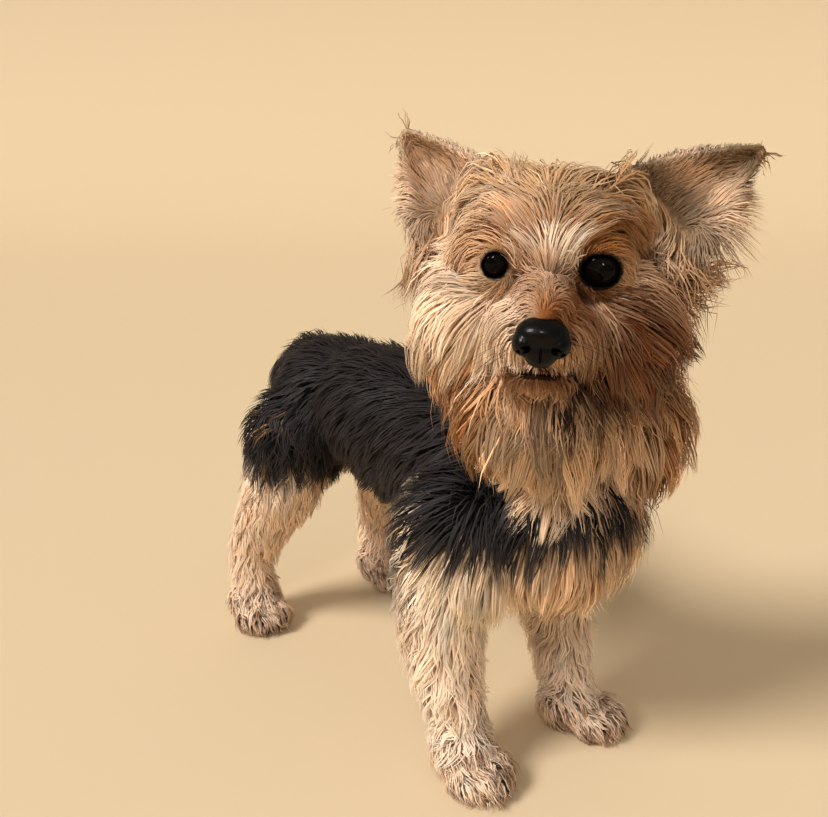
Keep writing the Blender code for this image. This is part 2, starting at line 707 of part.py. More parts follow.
def tierLocks(item, tier, locks, others, frame, keepOut, dice):
    # Adds the locks of one tier as separate closed meshes, each row over the row behind it
    own = treeOf(item)
    turn = frame.to_3x3()
    lean = math.radians(tier["lean"])
    for row in reversed(range(tier["rows"])):
        laid = treeOfLocks(locks)
        centre, along = pointOn(tier["line"], (row + 0.5) / tier["rows"])
        zero = Vector(tier["zero"])
        side = along.cross(zero).normalized()
        zero = side.cross(along)
        first, last = tier["arc"]
        for k in range(tier["count"]):
            turned = (k + 0.25 + 0.5 * (row % 2) + dice.uniform(-0.2, 0.2)) / tier["count"]
            angle = math.radians(first + (last - first) * turned)
            way = zero * math.cos(angle) + side * math.sin(angle)
            look = way * math.cos(lean) - along * math.sin(lean)
            start = frame @ (centre + along * dice.uniform(-0.003, 0.003))
            place, normal, face, distance = own.ray_cast(start, turn @ look)
            if place is None or any((place - spot).length < reach for spot, reach in keepOut):
                continue
            lie = turn @ (Vector(tier["lie"]) + way * tier["fan"])
            length = tier["length"] * dice.uniform(0.85, 1.2)
            rise = tier["rise"] * dice.uniform(0.7, 1.35)
            swing = dice.uniform(-0.30, 0.30)
            width = tier["width"] * dice.uniform(0.85, 1.15)
            for share in CLEAR_TRIES:
                points = lockPath(place, normal, lie, tier, own, laid, others, length * share, rise, swing)
                if points and not any((p - spot).length < reach for p in points for spot, reach in keepOut):
                    break
                points = None
            if points:
                form = bmesh.new()
                addLock(form, points, normal, width, width * LOCK_FLATNESS)
                locks.append(form)


def fringeLocks(word, side, others, dice):
    # Along the ear's outer and lower edge, from the tip down to the root
    root, tip, width = EAR[word]
    root = Vector((side * root[0], root[1], root[2]))
    tip = Vector((side * tip[0], tip[1], tip[2]))
    along = (tip - root).normalized()
    face = Vector((0.0, -1.0, 0.0))
    outward = along.cross(face).normalized() * side
    locks = []
    for k in range(FRINGE["count"]):
        u = 0.74 - 0.66 * k / (FRINGE["count"] - 1)
        half = width / 2 * (1.0 - u ** 1.3)
        base = root + along * (u * (tip - root).length) + outward * (half * 0.50)
        base = base - face * (0.004 * math.sin(math.pi * u) - EAR_CUP * 0.3 * (1.0 - 0.6 * u))
        way = (outward - along * (0.25 + 0.4 * u) + face * 0.1).normalized()
        length = half * 0.50 + FRINGE["length"] * dice.uniform(0.8, 1.1) * (1.1 - 0.6 * u)
        points = [HEAD @ base]
        point = base
        for step in (1, 2, 3):
            point = point + way * (length / 3)
            way = (way + Vector((0.0, 0.0, -0.18))).normalized()
            world = HEAD @ point
            for tree in others:
                world = raised(world, tree, FRINGE["thick"] + GAP * 3)
            points.append(world)
        form = bmesh.new()
        addLock(form, points, HEAD.to_3x3() @ face, FRINGE["width"], FRINGE["thick"])
        locks.append(form)
    return locks


def joinLocks(item, locks, solver):
    bundle = bpy.data.collections.new("locks")
    for form in locks:
        addObject("lock", form, bundle)
    boolean(item, bundle, "UNION", solver)
    for lock in list(bundle.objects):
        bpy.data.objects.remove(lock)
    bpy.data.collections.remove(bundle)


def trimClear(item):
    # Cuts away what still crosses a neighbour
    for other in parts.objects:
        if other is item or not treeOf(item).overlap(treeOf(other)):
            continue
        grownOther = swollen(other, f"{other.name}_swollen", GAP)
        boolean(item, grownOther, "DIFFERENCE", "MANIFOLD")
        bpy.data.objects.remove(grownOther)


def dressNode(name, tiers, frame=Matrix.Identity(4), keepOut=(), extra=()):
    item = parts.objects[name]
    dice = random.Random(name)
    others = [treeOf(other) for other in parts.objects if other is not item]
    locks = []
    for tier in tiers:
        tierLocks(item, tier, locks, others, frame, keepOut, dice)
    if extra:
        locks += fringeLocks(*extra, others, dice)
    joinLocks(item, locks, "EXACT" if extra else "MANIFOLD")
    keepLargest(item)
    trimClear(item)
    keepLargest(item)


def dressAll():
    eyes = [(HEAD @ Vector((side * EYE_SPACING / 2, 0.0, 0.0)), 0.0150) for side in (-1, 1)]
    face = eyes + [(HEAD @ Vector(NOSE_AT), 0.016), (HEAD @ Vector((0.0, -0.030, MOUTH_LEVEL)), 0.014)]
    for name, tiers in BODY_TIERS.items():
        dressNode(name, tiers)
    dressNode("head", HEAD_TIERS, HEAD, face)
    for side, word in ((-1, "right"), (1, "left")):
        dressNode(f"ear_{word}", (), extra=(word, side))
        for limb, joints in (("front", FRONT_LIMB), ("hind", HIND_LIMB)):
            line = [(side * x, y, z) for (x, y, z), flesh, coat in joints[1:5]]
            dressNode(f"{limb}_leg_{word}", [{**LIMB_TIERS[limb], "line": line}])
    line = [place for place, flesh, coat in TAIL_LINE]
    dressNode("tail", [{**TAIL_TIER, "line": line}])


def main():
    clearScene()
    whole = makeWhole()
    partWhole(whole)
    bpy.data.objects.remove(whole)
    for item in parts.objects:
        keepLargest(item)
    head = parts.objects["head"]
    for side, word in ((-1, "right"), (1, "left")):
        makeEar(word, side, head)
        for limb in ("front", "hind"):
            makePaw(limb, side, word)
    makeTail(parts.objects["torso"])
    makeNose(head)
    makeMouth(head)
    makeEyes(head)
    for item in parts.objects:
        keepLargest(item)
    dressAll()
    for item in parts.objects:
        item.data.transform(Matrix.Translation(ORIGIN_SHIFT))
        giveMaterial(item)


main()
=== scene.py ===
import math

import bmesh
import bpy
import numpy as np
from mathutils import Matrix, Vector
from mathutils.bvhtree import BVHTree
from mathutils.kdtree import KDTree


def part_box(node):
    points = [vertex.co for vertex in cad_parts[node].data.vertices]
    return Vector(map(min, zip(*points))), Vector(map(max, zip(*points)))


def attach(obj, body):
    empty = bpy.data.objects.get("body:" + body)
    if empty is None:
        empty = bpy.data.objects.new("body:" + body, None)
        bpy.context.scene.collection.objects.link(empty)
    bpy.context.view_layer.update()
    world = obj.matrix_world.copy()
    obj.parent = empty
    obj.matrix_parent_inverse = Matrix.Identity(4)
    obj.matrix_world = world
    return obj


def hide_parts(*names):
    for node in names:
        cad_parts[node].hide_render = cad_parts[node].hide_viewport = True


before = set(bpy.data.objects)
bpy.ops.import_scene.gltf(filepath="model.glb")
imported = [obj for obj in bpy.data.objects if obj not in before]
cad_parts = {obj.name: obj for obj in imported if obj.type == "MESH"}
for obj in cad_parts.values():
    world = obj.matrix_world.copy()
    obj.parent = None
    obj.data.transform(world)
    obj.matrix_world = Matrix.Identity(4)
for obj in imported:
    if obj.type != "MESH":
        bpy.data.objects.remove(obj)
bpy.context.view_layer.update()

# A Yorkshire terrier standing with its head turned to its right, in metres, Z up, facing -Y.
# Places are given in the dog's own frame and in the head's frame: X to the dog's left, Y back.
pose = {
    "headAt": (-0.044, -0.047, 0.264),
    "turn": -44.0,
    "nod": 8.0,
    "tilt": 3.0,
    "eyeAt": (0.020, 0.0045, 0.0),
    "eyeRadius": 0.0088,
    "noseAt": (0.0, -0.0330, -0.0180),
    "noseWidth": 0.0215,
}
eyeLow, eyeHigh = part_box("eye_left")
headTurned = (
    Matrix.Translation(pose["headAt"])
    @ Matrix.Rotation(math.radians(pose["turn"]), 4, "Z")
    @ Matrix.Rotation(math.radians(pose["nod"]), 4, "X")
    @ Matrix.Rotation(math.radians(pose["tilt"]), 4, "Y")
)
shift = (eyeLow + eyeHigh) / 2 - headTurned @ Vector(pose["eyeAt"])
dogFrame = Matrix.Translation(shift)
headFrame = dogFrame @ headTurned

# Flesh under the coat: centre, radii, depth of the coat
bodyForms = {
    "ribcage": ((0.000, 0.045, 0.148), (0.035, 0.066, 0.038), 0.016),
    "withers": ((0.000, 0.040, 0.163), (0.025, 0.045, 0.024), 0.012),
    "breast": ((0.000, -0.012, 0.136), (0.032, 0.026, 0.032), 0.016),
    "loin": ((0.000, 0.118, 0.157), (0.033, 0.066, 0.031), 0.013),
    "rump": ((0.000, 0.178, 0.150), (0.036, 0.040, 0.034), 0.013),
    "belly": ((0.000, 0.096, 0.136), (0.026, 0.056, 0.020), 0.011),
    "shoulderLeft": ((0.036, 0.012, 0.126), (0.018, 0.026, 0.028), 0.012),
    "shoulderRight": ((-0.036, 0.012, 0.126), (0.018, 0.026, 0.028), 0.012),
}
neckForms = {
    "nape": ((-0.006, 0.008, 0.216), (0.026, 0.028, 0.034), 0.016),
    "throat": ((-0.008, -0.012, 0.190), (0.028, 0.026, 0.032), 0.016),
    "mane": ((0.027, -0.020, 0.184), (0.024, 0.022, 0.030), 0.018),
}
headForms = {
    "skull": ((0.000, 0.034, 0.001), (0.033, 0.032, 0.024), 0.014),
    "brow": ((0.000, 0.012, 0.004), (0.027, 0.015, 0.017), 0.010),
    "muzzle": ((0.000, -0.014, -0.020), (0.0135, 0.020, 0.0115), 0.005),
    "bridge": ((0.000, -0.012, -0.010), (0.0085, 0.022, 0.0075), 0.004),
    "jaw": ((0.000, -0.006, -0.034), (0.013, 0.022, 0.009), 0.008),
    "beard": ((0.000, 0.010, -0.062), (0.024, 0.016, 0.022), 0.020),
    "cheekLeft": ((0.027, 0.022, -0.024), (0.016, 0.022, 0.022), 0.018),
    "cheekRight": ((-0.027, 0.022, -0.024), (0.016, 0.022, 0.022), 0.018),
}
# Each joint: place with X outwards, radius of the flesh, depth of the coat
limbs = {
    "front": [
        ((0.036, 0.022, 0.130), 0.021, 0.010),
        ((0.040, 0.026, 0.098), 0.015, 0.010),
        ((0.039, 0.022, 0.058), 0.012, 0.009),
        ((0.037, 0.013, 0.028), 0.0105, 0.008),
        ((0.038, 0.006, 0.014), 0.011, 0.006),
    ],
    "hind": [
        ((0.030, 0.185, 0.130), 0.027, 0.013),
        ((0.041, 0.188, 0.100), 0.019, 0.012),
        ((0.046, 0.202, 0.074), 0.013, 0.009),
        ((0.050, 0.216, 0.048), 0.0095, 0.006),
        ((0.050, 0.213, 0.024), 0.0095, 0.005),
        ((0.049, 0.209, 0.014), 0.011, 0.005),
    ],
}
tailLine = [
    ((0.000, 0.210, 0.170), 0.012, 0.008),
    ((0.000, 0.238, 0.158), 0.009, 0.010),
    ((0.000, 0.252, 0.132), 0.007, 0.012),
    ((0.000, 0.254, 0.100), 0.004, 0.010),
]
ears = {
    "right": {"root": (-0.041, 0.038, 0.011), "tip": (-0.063, 0.042, 0.041), "width": 0.050, "outer": 0.68},
    "left": {"root": (0.049, 0.038, 0.012), "tip": (0.080, 0.040, 0.042), "width": 0.056, "outer": 0.50},
}
paws = {
    "front_right": (-0.038, 0.004, -2.0),
    "front_left": (0.038, 0.004, 28.0),
    "hind_right": (-0.051, 0.211, -6.0),
    "hind_left": (0.051, 0.211, 6.0),
}
toes = ((-0.0115, -0.0105), (-0.0042, -0.0155), (0.0042, -0.0155), (0.0115, -0.0105))
padLift = 0.0006                 # the lowest fur and pads stay this far above the floor

skinSize = {"voxel": 0.0014, "smoothing": 8, "triangles": 90000}


def linear(rgb):
    share = np.array(rgb, float) / 255.0
    return np.where(share <= 0.04045, share / 12.92, ((share + 0.055) / 1.055) ** 2.4)


def ballInto(form, centre, radii, matrix, segments=24, rings=16):
    place = matrix @ Matrix.Translation(centre) @ Matrix.Diagonal((*radii, 1.0))
    bmesh.ops.create_uvsphere(form, u_segments=segments, v_segments=rings, radius=1.0, matrix=place)


def limbInto(form, joints, side, matrix):
    centres = [Vector((side * x, y, z)) for (x, y, z), flesh, coat in joints]
    radii = [flesh for centre, flesh, coat in joints]
    for centre, radius in zip(centres, radii):
        ballInto(form, centre, (radius,) * 3, matrix, 20, 12)
    for start, end, r1, r2 in zip(centres, centres[1:], radii, radii[1:]):
        along = end - start
        turned = Matrix.Translation((start + end) / 2) @ along.to_track_quat("Z", "Y").to_matrix().to_4x4()
        bmesh.ops.create_cone(form, cap_ends=True, segments=20, radius1=r1, radius2=r2,
                              depth=along.length, matrix=matrix @ turned)


def newObject(name, mesh):
    item = bpy.data.objects.new(name, mesh)
    bpy.context.scene.collection.objects.link(item)
    return item


def fromForm(name, form):
    mesh = bpy.data.meshes.new(name)
    form.to_mesh(mesh)
    form.free()
    return newObject(name, mesh)


def applyModifiers(item):
    shape = item.evaluated_get(bpy.context.evaluated_depsgraph_get())
    mesh = bpy.data.meshes.new_from_object(shape)
    item.modifiers.clear()
    item.data = mesh


def blendForms(item, voxel, smoothing):
    remesh = item.modifiers.new("blend", "REMESH")
    remesh.mode = "VOXEL"
    remesh.voxel_size = voxel
    smooth = item.modifiers.new("smooth", "SMOOTH")
    smooth.factor = 0.5
    smooth.iterations = smoothing
    applyModifiers(item)


def boolean(item, form, operation):
    tool = fromForm("tool", form)
    cut = item.modifiers.new("cut", "BOOLEAN")
    cut.operation = operation
    cut.solver = "MANIFOLD"
    cut.object = tool
    applyModifiers(item)
    bpy.data.objects.remove(tool)


def dressed(item, material, slot, *nodes):
    item.data.materials.clear()
    item.data.materials.append(material)
    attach(item, "root")
    if nodes:
        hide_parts(*nodes)
    return item


# The skin: one blended form, with the ears, toes and lids in it
earShape = {"cup": 0.012, "thickness": 0.0026, "into": 0.30}


def earPoint(ear, u, v):
    # u from root to tip, v across from -1 to 1; the cup opens to the front
    root = Vector(ear["root"])
    tip = Vector(ear["tip"])
    along = (tip - root).normalized()
    across = along.cross(Vector((0.0, -1.0, 0.0))).normalized()
    face = across.cross(along)
    half = ear["width"] / 2 * (1.0 - max(u, 0.0) ** 1.3) + 0.0015
    half *= ear["outer"] if v * root.x > 0 else 1.0
    depth = earShape["cup"] * v * v * (1.0 - 0.6 * u) - 0.004 * math.sin(math.pi * max(u, 0.0))
    return root + along * (u * (tip - root).length) + across * (v * half) + face * depth


def earForm(ear):
    form = bmesh.new()
    bmesh.ops.create_grid(form, x_segments=14, y_segments=20, size=1.0)
    for vertex in form.verts:
        u = (vertex.co.y + 1.0) / 2 * (1.0 + earShape["into"]) - earShape["into"]
        vertex.co = headFrame @ earPoint(ear, u, vertex.co.x)
    item = fromForm("ear", form)
    wall = item.modifiers.new("wall", "SOLIDIFY")
    wall.thickness = earShape["thickness"]
    wall.offset = 0.0
    applyModifiers(item)
    mesh = item.data
    bpy.data.objects.remove(item)
    return mesh


def makeSkin():
    form = bmesh.new()
    for forms, matrix in ((bodyForms, dogFrame), (neckForms, dogFrame), (headForms, headFrame)):
        for centre, radii, coat in forms.values():
            ballInto(form, centre, radii, matrix)
    for side in (-1, 1):
        for joints in limbs.values():
            limbInto(form, joints, side, dogFrame)
    limbInto(form, tailLine, 1, dogFrame)
    for name, (x, y, turned) in paws.items():
        place = dogFrame @ Matrix.Translation((x, y, 0.0)) @ Matrix.Rotation(math.radians(turned), 4, "Z")
        ballInto(form, (0.0, 0.003, 0.0135), (0.0145, 0.0150, 0.0125), place)
        for across, ahead in toes:
            ballInto(form, (across * 0.92, ahead, 0.0082), (0.0050, 0.0085, 0.0070), place)
    for ear in ears.values():
        form.from_mesh(earForm(ear))
    skin = fromForm("skin", form)
    blendForms(skin, skinSize["voxel"], skinSize["smoothing"])
    thin = skin.modifiers.new("thin", "DECIMATE")
    thin.ratio = min(1.0, skinSize["triangles"] / sum(len(p.vertices) - 2 for p in skin.data.polygons))
    thin.use_collapse_triangulate = True
    applyModifiers(skin)
    openEyes(skin)
    cutMouth(skin)
    unwrap(skin)
    skin.data.shade_smooth()
    return skin


def unwrap(item):
    # The skin's own unwrap, where each tuft later has its patch
    bpy.context.view_layer.objects.active = item
    item.select_set(True)
    bpy.ops.object.mode_set(mode="EDIT")
    bpy.ops.mesh.select_all(action="SELECT")
    bpy.ops.uv.smart_project(angle_limit=math.radians(66.0), island_margin=0.002)
    bpy.ops.object.mode_set(mode="OBJECT")
    item.select_set(False)
    item.data.uv_layers[0].name = "OFBake"


lids = {"thickness": 0.0017, "gap": 0.0003, "halfWidth": {-1: 0.0049, 1: 0.0077},
        "halfHeight": {-1: 0.0053, 1: 0.0068}}


def openEyes(skin):
    x, y, z = pose["eyeAt"]
    radius = pose["eyeRadius"]
    for side in (-1, 1):
        centre = Vector((side * x, y, z))
        hollow = bmesh.new()
        ballInto(hollow, centre + Vector((side * 0.001, -0.0125, 0.0)), (0.0118, 0.0105, 0.0096), headFrame)
        boolean(skin, hollow, "DIFFERENCE")
        lid = bmesh.new()
        ballInto(lid, centre, (radius + lids["thickness"],) * 3, headFrame, 48, 32)
        boolean(skin, lid, "UNION")
        socket = bmesh.new()
        ballInto(socket, centre, (radius + lids["gap"],) * 3, headFrame, 48, 32)
        boolean(skin, socket, "DIFFERENCE")
        opening = bmesh.new()
        ballInto(opening, centre + Vector((0.0, -0.010, 0.0)),
                 (lids["halfWidth"][side], 0.011, lids["halfHeight"][side]), headFrame, 48, 32)
        boolean(skin, opening, "DIFFERENCE")


mouth = {"level": -0.0335, "reach": 58.0, "drop": 0.006, "lip": 0.0016, "line": 0.0006, "steps": 18}


def mouthPath(tree, level, sink):
    points = []
    for i in range(mouth["steps"] + 1):
        share = 2 * i / mouth["steps"] - 1
        angle = math.radians(mouth["reach"]) * share
        start = Vector((0.0, -0.010, level - mouth["drop"] * abs(share) ** 1.6))
        way = Vector((math.sin(angle), -math.cos(angle), 0.0))
        hit = tree.ray_cast(headFrame @ start, headFrame.to_3x3() @ way)
        points.append(hit[0] - hit[1] * sink)
    return points


def tubeForm(points, radius, sides=8):
    # A closed tube along the points, rounded off by a small ring at each end
    form = bmesh.new()
    rings = []
    for i, point in enumerate(points):
        along = (points[min(i + 1, len(points) - 1)] - points[max(i - 1, 0)]).normalized()
        side = along.cross(Vector((0.0, 0.0, 1.0))).normalized()
        up = side.cross(along)
        size = radius * (0.35 if i in (0, len(points) - 1) else 1.0)
        turn = [2 * math.pi * k / sides for k in range(sides)]
        rings.append([form.verts.new(point + (side * math.cos(a) + up * math.sin(a)) * size) for a in turn])
    for low, high in zip(rings, rings[1:]):
        for k in range(sides):
            n = (k + 1) % sides
            form.faces.new((low[k], low[n], high[n], high[k]))
    form.faces.new(rings[0])
    form.faces.new(rings[-1])
    bmesh.ops.recalc_face_normals(form, faces=form.faces)
    return form


def cutMouth(skin):
    tree = BVHTree.FromObject(skin, bpy.context.evaluated_depsgraph_get())
    lip = mouth["lip"]
    upper = mouthPath(tree, mouth["level"] + lip * 0.8, lip * 0.35)
    lower = mouthPath(tree, mouth["level"] - lip * 1.1, lip * 0.45)
    line = mouthPath(tree, mouth["level"], -lip * 0.2)
    boolean(skin, tubeForm(upper, lip), "UNION")
    boolean(skin, tubeForm(lower, lip), "UNION")
    boolean(skin, tubeForm(line, mouth["line"]), "DIFFERENCE")


skin = makeSkin()
print("skin", len(skin.data.polygons))

# The coat: every tuft grows from a place on the skin, along the lie there
rng = np.random.default_rng(17)
headInverse = np.array(headFrame.inverted())
shiftArray = np.array(shift)
down = np.array((0.0, 0.0, -1.0))


def unit(vectors):
    return vectors / np.maximum(np.linalg.norm(vectors, axis=-1, keepdims=True), 1e-9)


def dot(a, b):
    return (a * b).sum(-1, keepdims=True)


def smoothStep(low, high, value):
    share = np.clip((value - low) / (high - low), 0.0, 1.0)
    return share * share * (3.0 - 2.0 * share)


def blend(a, b, share):
    share = np.asarray(share)
    return a + (b - a) * share[..., None]


def wobble(points, size, seed):
    # Smooth noise between -1 and 1, with waves about this size
    draw = np.random.default_rng(seed)
    total = np.zeros(len(points))
    for k in range(7):
        way = draw.normal(size=3)
        way *= draw.uniform(0.6, 1.6) / np.linalg.norm(way) * 2 * math.pi / size
        total += np.sin(points @ way + draw.uniform(0, 2 * math.pi))
    return np.clip(total / 3.0, -1.0, 1.0)


def reachOf(points, forms):
    # About how far each point is outside the nearest of these forms
    best = np.full(len(points), 1.0)
    for centre, radii, coat in forms.values():
        away = np.linalg.norm((points - np.array(centre)) / np.array(radii), axis=1) - 1.0
        best = np.minimum(best, away * min(radii))
    return best


def limbReach(points, joints, side):
    best = np.full(len(points), 1.0)
    for (a, r1, c1), (b, r2, c2) in zip(joints, joints[1:]):
        a = np.array((side * a[0], a[1], a[2]))
        b = np.array((side * b[0], b[1], b[2]))
        along = b - a
        share = np.clip((points - a) @ along / (along @ along), 0.0, 1.0)
        away = np.linalg.norm(points - a - share[:, None] * along, axis=1)
        best = np.minimum(best, away - (r1 + (r2 - r1) * share))
    return best


def earAxes(ear):
    # The ear's length, and its directions along, across and out of its sheet
    reach = np.array(ear["tip"]) - np.array(ear["root"])
    length = np.linalg.norm(reach)
    along = reach / length
    across = unit(np.cross(along, np.array((0.0, -1.0, 0.0))))
    return length, along, across, np.cross(across, along)


def earPlace(points, ear):
    # Shares along and across the ear, and height off its sheet
    length, along, across, face = earAxes(ear)
    away = points - np.array(ear["root"])
    u = away @ along / length
    half = ear["width"] / 2 * (1.0 - np.clip(u, 0.0, 1.0) ** 1.3) + 0.0015
    half = half * np.where(away @ across * ear["root"][0] > 0, ear["outer"], 1.0)
    v = away @ across / half
    sheet = earShape["cup"] * v * v * (1.0 - 0.6 * u) - 0.004 * np.sin(math.pi * np.clip(u, 0.0, 1.0))
    return u, v, away @ face - sheet


def eachEar(region, inHead):
    # For each ear: its row, 1 for the left or -1, its own tufts, and their places along and outward
    for ear in ears.values():
        outward = math.copysign(1.0, ear["root"][0])
        own = (region == onEar) & (np.sign(inHead[:, 0]) == outward)
        u, v = earPlace(inHead, ear)[:2]
        yield ear, outward, own, u, v


def toHead(points):
    return points @ headInverse[:3, :3].T + headInverse[:3, 3]


regions = ("head", "neck", "torso", "frontLeg", "hindLeg", "paw", "tail", "ear")
onHead, onNeck, onTorso, onFrontLeg, onHindLeg, onPaw, onTail, onEar = range(len(regions))


def regionsOf(points, normals):
    # Which part of the dog each point of the skin belongs to, by the nearest form
    dog = points - shiftArray
    inHead = toHead(points)
    turned = normals @ headInverse[:3, :3].T
    reach = np.stack([
        reachOf(inHead, headForms),
        reachOf(dog, neckForms),
        reachOf(dog, bodyForms),
        np.minimum(limbReach(dog, limbs["front"], 1), limbReach(dog, limbs["front"], -1)),
        np.minimum(limbReach(dog, limbs["hind"], 1), limbReach(dog, limbs["hind"], -1)),
        np.full(len(dog), 1.0),
        limbReach(dog, tailLine, 1),
        np.full(len(dog), 1.0),
    ], axis=1)
    found = reach.argmin(axis=1)
    found[(dog[:, 2] < 0.024) & np.isin(found, (onTorso, onFrontLeg, onHindLeg))] = onPaw
    for ear in ears.values():
        u, v, height = earPlace(inHead, ear)
        near = (u > 0.02) & (u < 1.2) & (np.abs(v) < 1.25) & (np.abs(height) < 0.0045)
        found[near & (reach[:, onHead] > 0.002)] = onEar
    return found, dog, inHead, turned


# For each region: tufts per square centimetre, length, depth of the coat, width, how strongly and
# how widely tufts gather into locks, waviness, weight and how far they stand up at the root
coatRules = {
    "head": {"density": 66, "length": 0.030, "depth": 0.014, "width": 0.00080, "gather": 0.60,
             "lock": 0.0065, "wave": 0.0010, "weight": 0.42, "lift": 34, "steps": 4, "shade": 0.80},
    "neck": {"density": 44, "length": 0.040, "depth": 0.016, "width": 0.00085, "gather": 0.88,
             "lock": 0.0115, "wave": 0.0020, "weight": 0.35, "lift": 32, "steps": 4, "shade": 0.36},
    "torso": {"density": 32, "length": 0.024, "depth": 0.013, "width": 0.00100, "gather": 0.60,
              "lock": 0.0080, "wave": 0.0010, "weight": 0.20, "lift": 30, "steps": 3, "shade": 0.45},
    "frontLeg": {"density": 44, "length": 0.022, "depth": 0.009, "width": 0.00080, "gather": 0.78,
                 "lock": 0.0068, "wave": 0.0030, "weight": 0.30, "lift": 34, "steps": 4, "shade": 0.80},
    "hindLeg": {"density": 34, "length": 0.021, "depth": 0.009, "width": 0.00085, "gather": 0.78,
                "lock": 0.0068, "wave": 0.0026, "weight": 0.30, "lift": 32, "steps": 3, "shade": 0.80},
    "paw": {"density": 58, "length": 0.0115, "depth": 0.0032, "width": 0.00072, "gather": 0.72,
            "lock": 0.0042, "wave": 0.0014, "weight": 0.15, "lift": 30, "steps": 3, "shade": 0.40},
    "tail": {"density": 46, "length": 0.030, "depth": 0.010, "width": 0.00095, "gather": 0.65,
             "lock": 0.0070, "wave": 0.0010, "weight": 0.40, "lift": 24, "steps": 4, "shade": 0.45},
    "ear": {"density": 74, "length": 0.0100, "depth": 0.0026, "width": 0.00045, "gather": 0.35,
            "lock": 0.0035, "wave": 0.0004, "weight": 0.05, "lift": 16, "steps": 3, "shade": 0.72},
}
nose = np.array(pose["noseAt"])


def aboveLips(inHead):
    # Height over the line of the mouth, which drops away to its corners
    return inHead[:, 2] - mouth["level"] + mouth["drop"] * (np.abs(inHead[:, 0]) / 0.0155) ** 1.6


def faceAngle(inHead):
    # Degrees round the face as seen from the front: 90 on top, 0 at the side, -90 below
    return np.degrees(np.arctan2(inHead[:, 2] + 0.010, np.abs(inHead[:, 0]) + 0.0015))


def eyeSide(inHead):
    # Place round the nearer eye, outward and up, in shares of the opening between the lids
    left = inHead[:, 0] > 0
    across = np.abs(inHead[:, 0]) - pose["eyeAt"][0]
    up = inHead[:, 2] - pose["eyeAt"][2]
    return np.stack([across / np.where(left, lids["halfWidth"][1], lids["halfWidth"][-1]),
                     up / np.where(left, lids["halfHeight"][1], lids["halfHeight"][-1])], axis=1)


def roundEyes(inHead, face):
    # The coat's run parts round each eye, like a stream round a stone
    aside = eyeSide(inHead)
    size = np.linalg.norm(aside, axis=1)
    rim = np.where(inHead[:, 0] < 0, 1.15, 1.32)
    turn = np.minimum(1.0, (rim / np.maximum(size, 1e-6)) ** 2) * smoothStep(0.016, 0.006, inHead[:, 1])
    away = aside / np.maximum(size, 1e-6)[:, None]
    side = np.sign(inHead[:, 0])
    run = np.stack([face[:, 0] * side, face[:, 2]], axis=1)
    run = run + away * (turn * (0.35 - (run * away).sum(1)))[:, None]
    return np.stack([run[:, 0] * side, face[:, 1], run[:, 1]], axis=1)


def lieOfCoat(region, dog, inHead, turned):
    # The way that the coat runs over each point, in the part's frame
    count = len(dog)
    lie = np.tile(np.array((0.0, 0.80, -0.55)), (count, 1))
    flank = np.clip(np.abs(dog[:, 0]) / 0.035, 0.0, 1.0)
    torso = region == onTorso
    lie[torso] = np.stack([0.10 * np.sign(dog[torso, 0]) * flank[torso], 0.95 - 0.35 * flank[torso],
                           -0.15 - 0.75 * flank[torso]], axis=1)
    breast = smoothStep(0.010, -0.015, dog[:, 1])
    lie[torso] = blend(lie[torso], np.array((0.0, 0.12, -1.0)), breast[torso])
    neck = region == onNeck
    lie[neck] = np.stack([0.35 * (dog[neck, 0] + 0.006) / 0.03, 0.25 + 8.0 * np.clip(dog[neck, 1], 0, 0.05),
                          np.full(neck.sum(), -1.0)], axis=1)
    lie[region == onHindLeg] = (0.0, 0.18, -1.0)
    front = region == onFrontLeg
    feather = smoothStep(0.045, 0.075, dog[:, 2])
    lie[front] = blend(np.array((0.0, 0.15, -1.0)), np.array((0.0, 0.55, -1.0)), feather[front])
    lie[region == onPaw] = (0.0, -0.75, -0.55)
    tail = region == onTail
    lie[tail] = blend(np.array((0.0, 0.9, -0.4)), np.array((0.0, 0.1, -1.0)),
                      smoothStep(0.225, 0.250, dog[tail, 1]))
    ofHead = np.isin(region, (onHead, onEar))
    face = lieOfFace(region, inHead, turned)
    lie[ofHead] = unit(face[ofHead]) @ np.array(headFrame.to_3x3()).T
    return unit(lie)


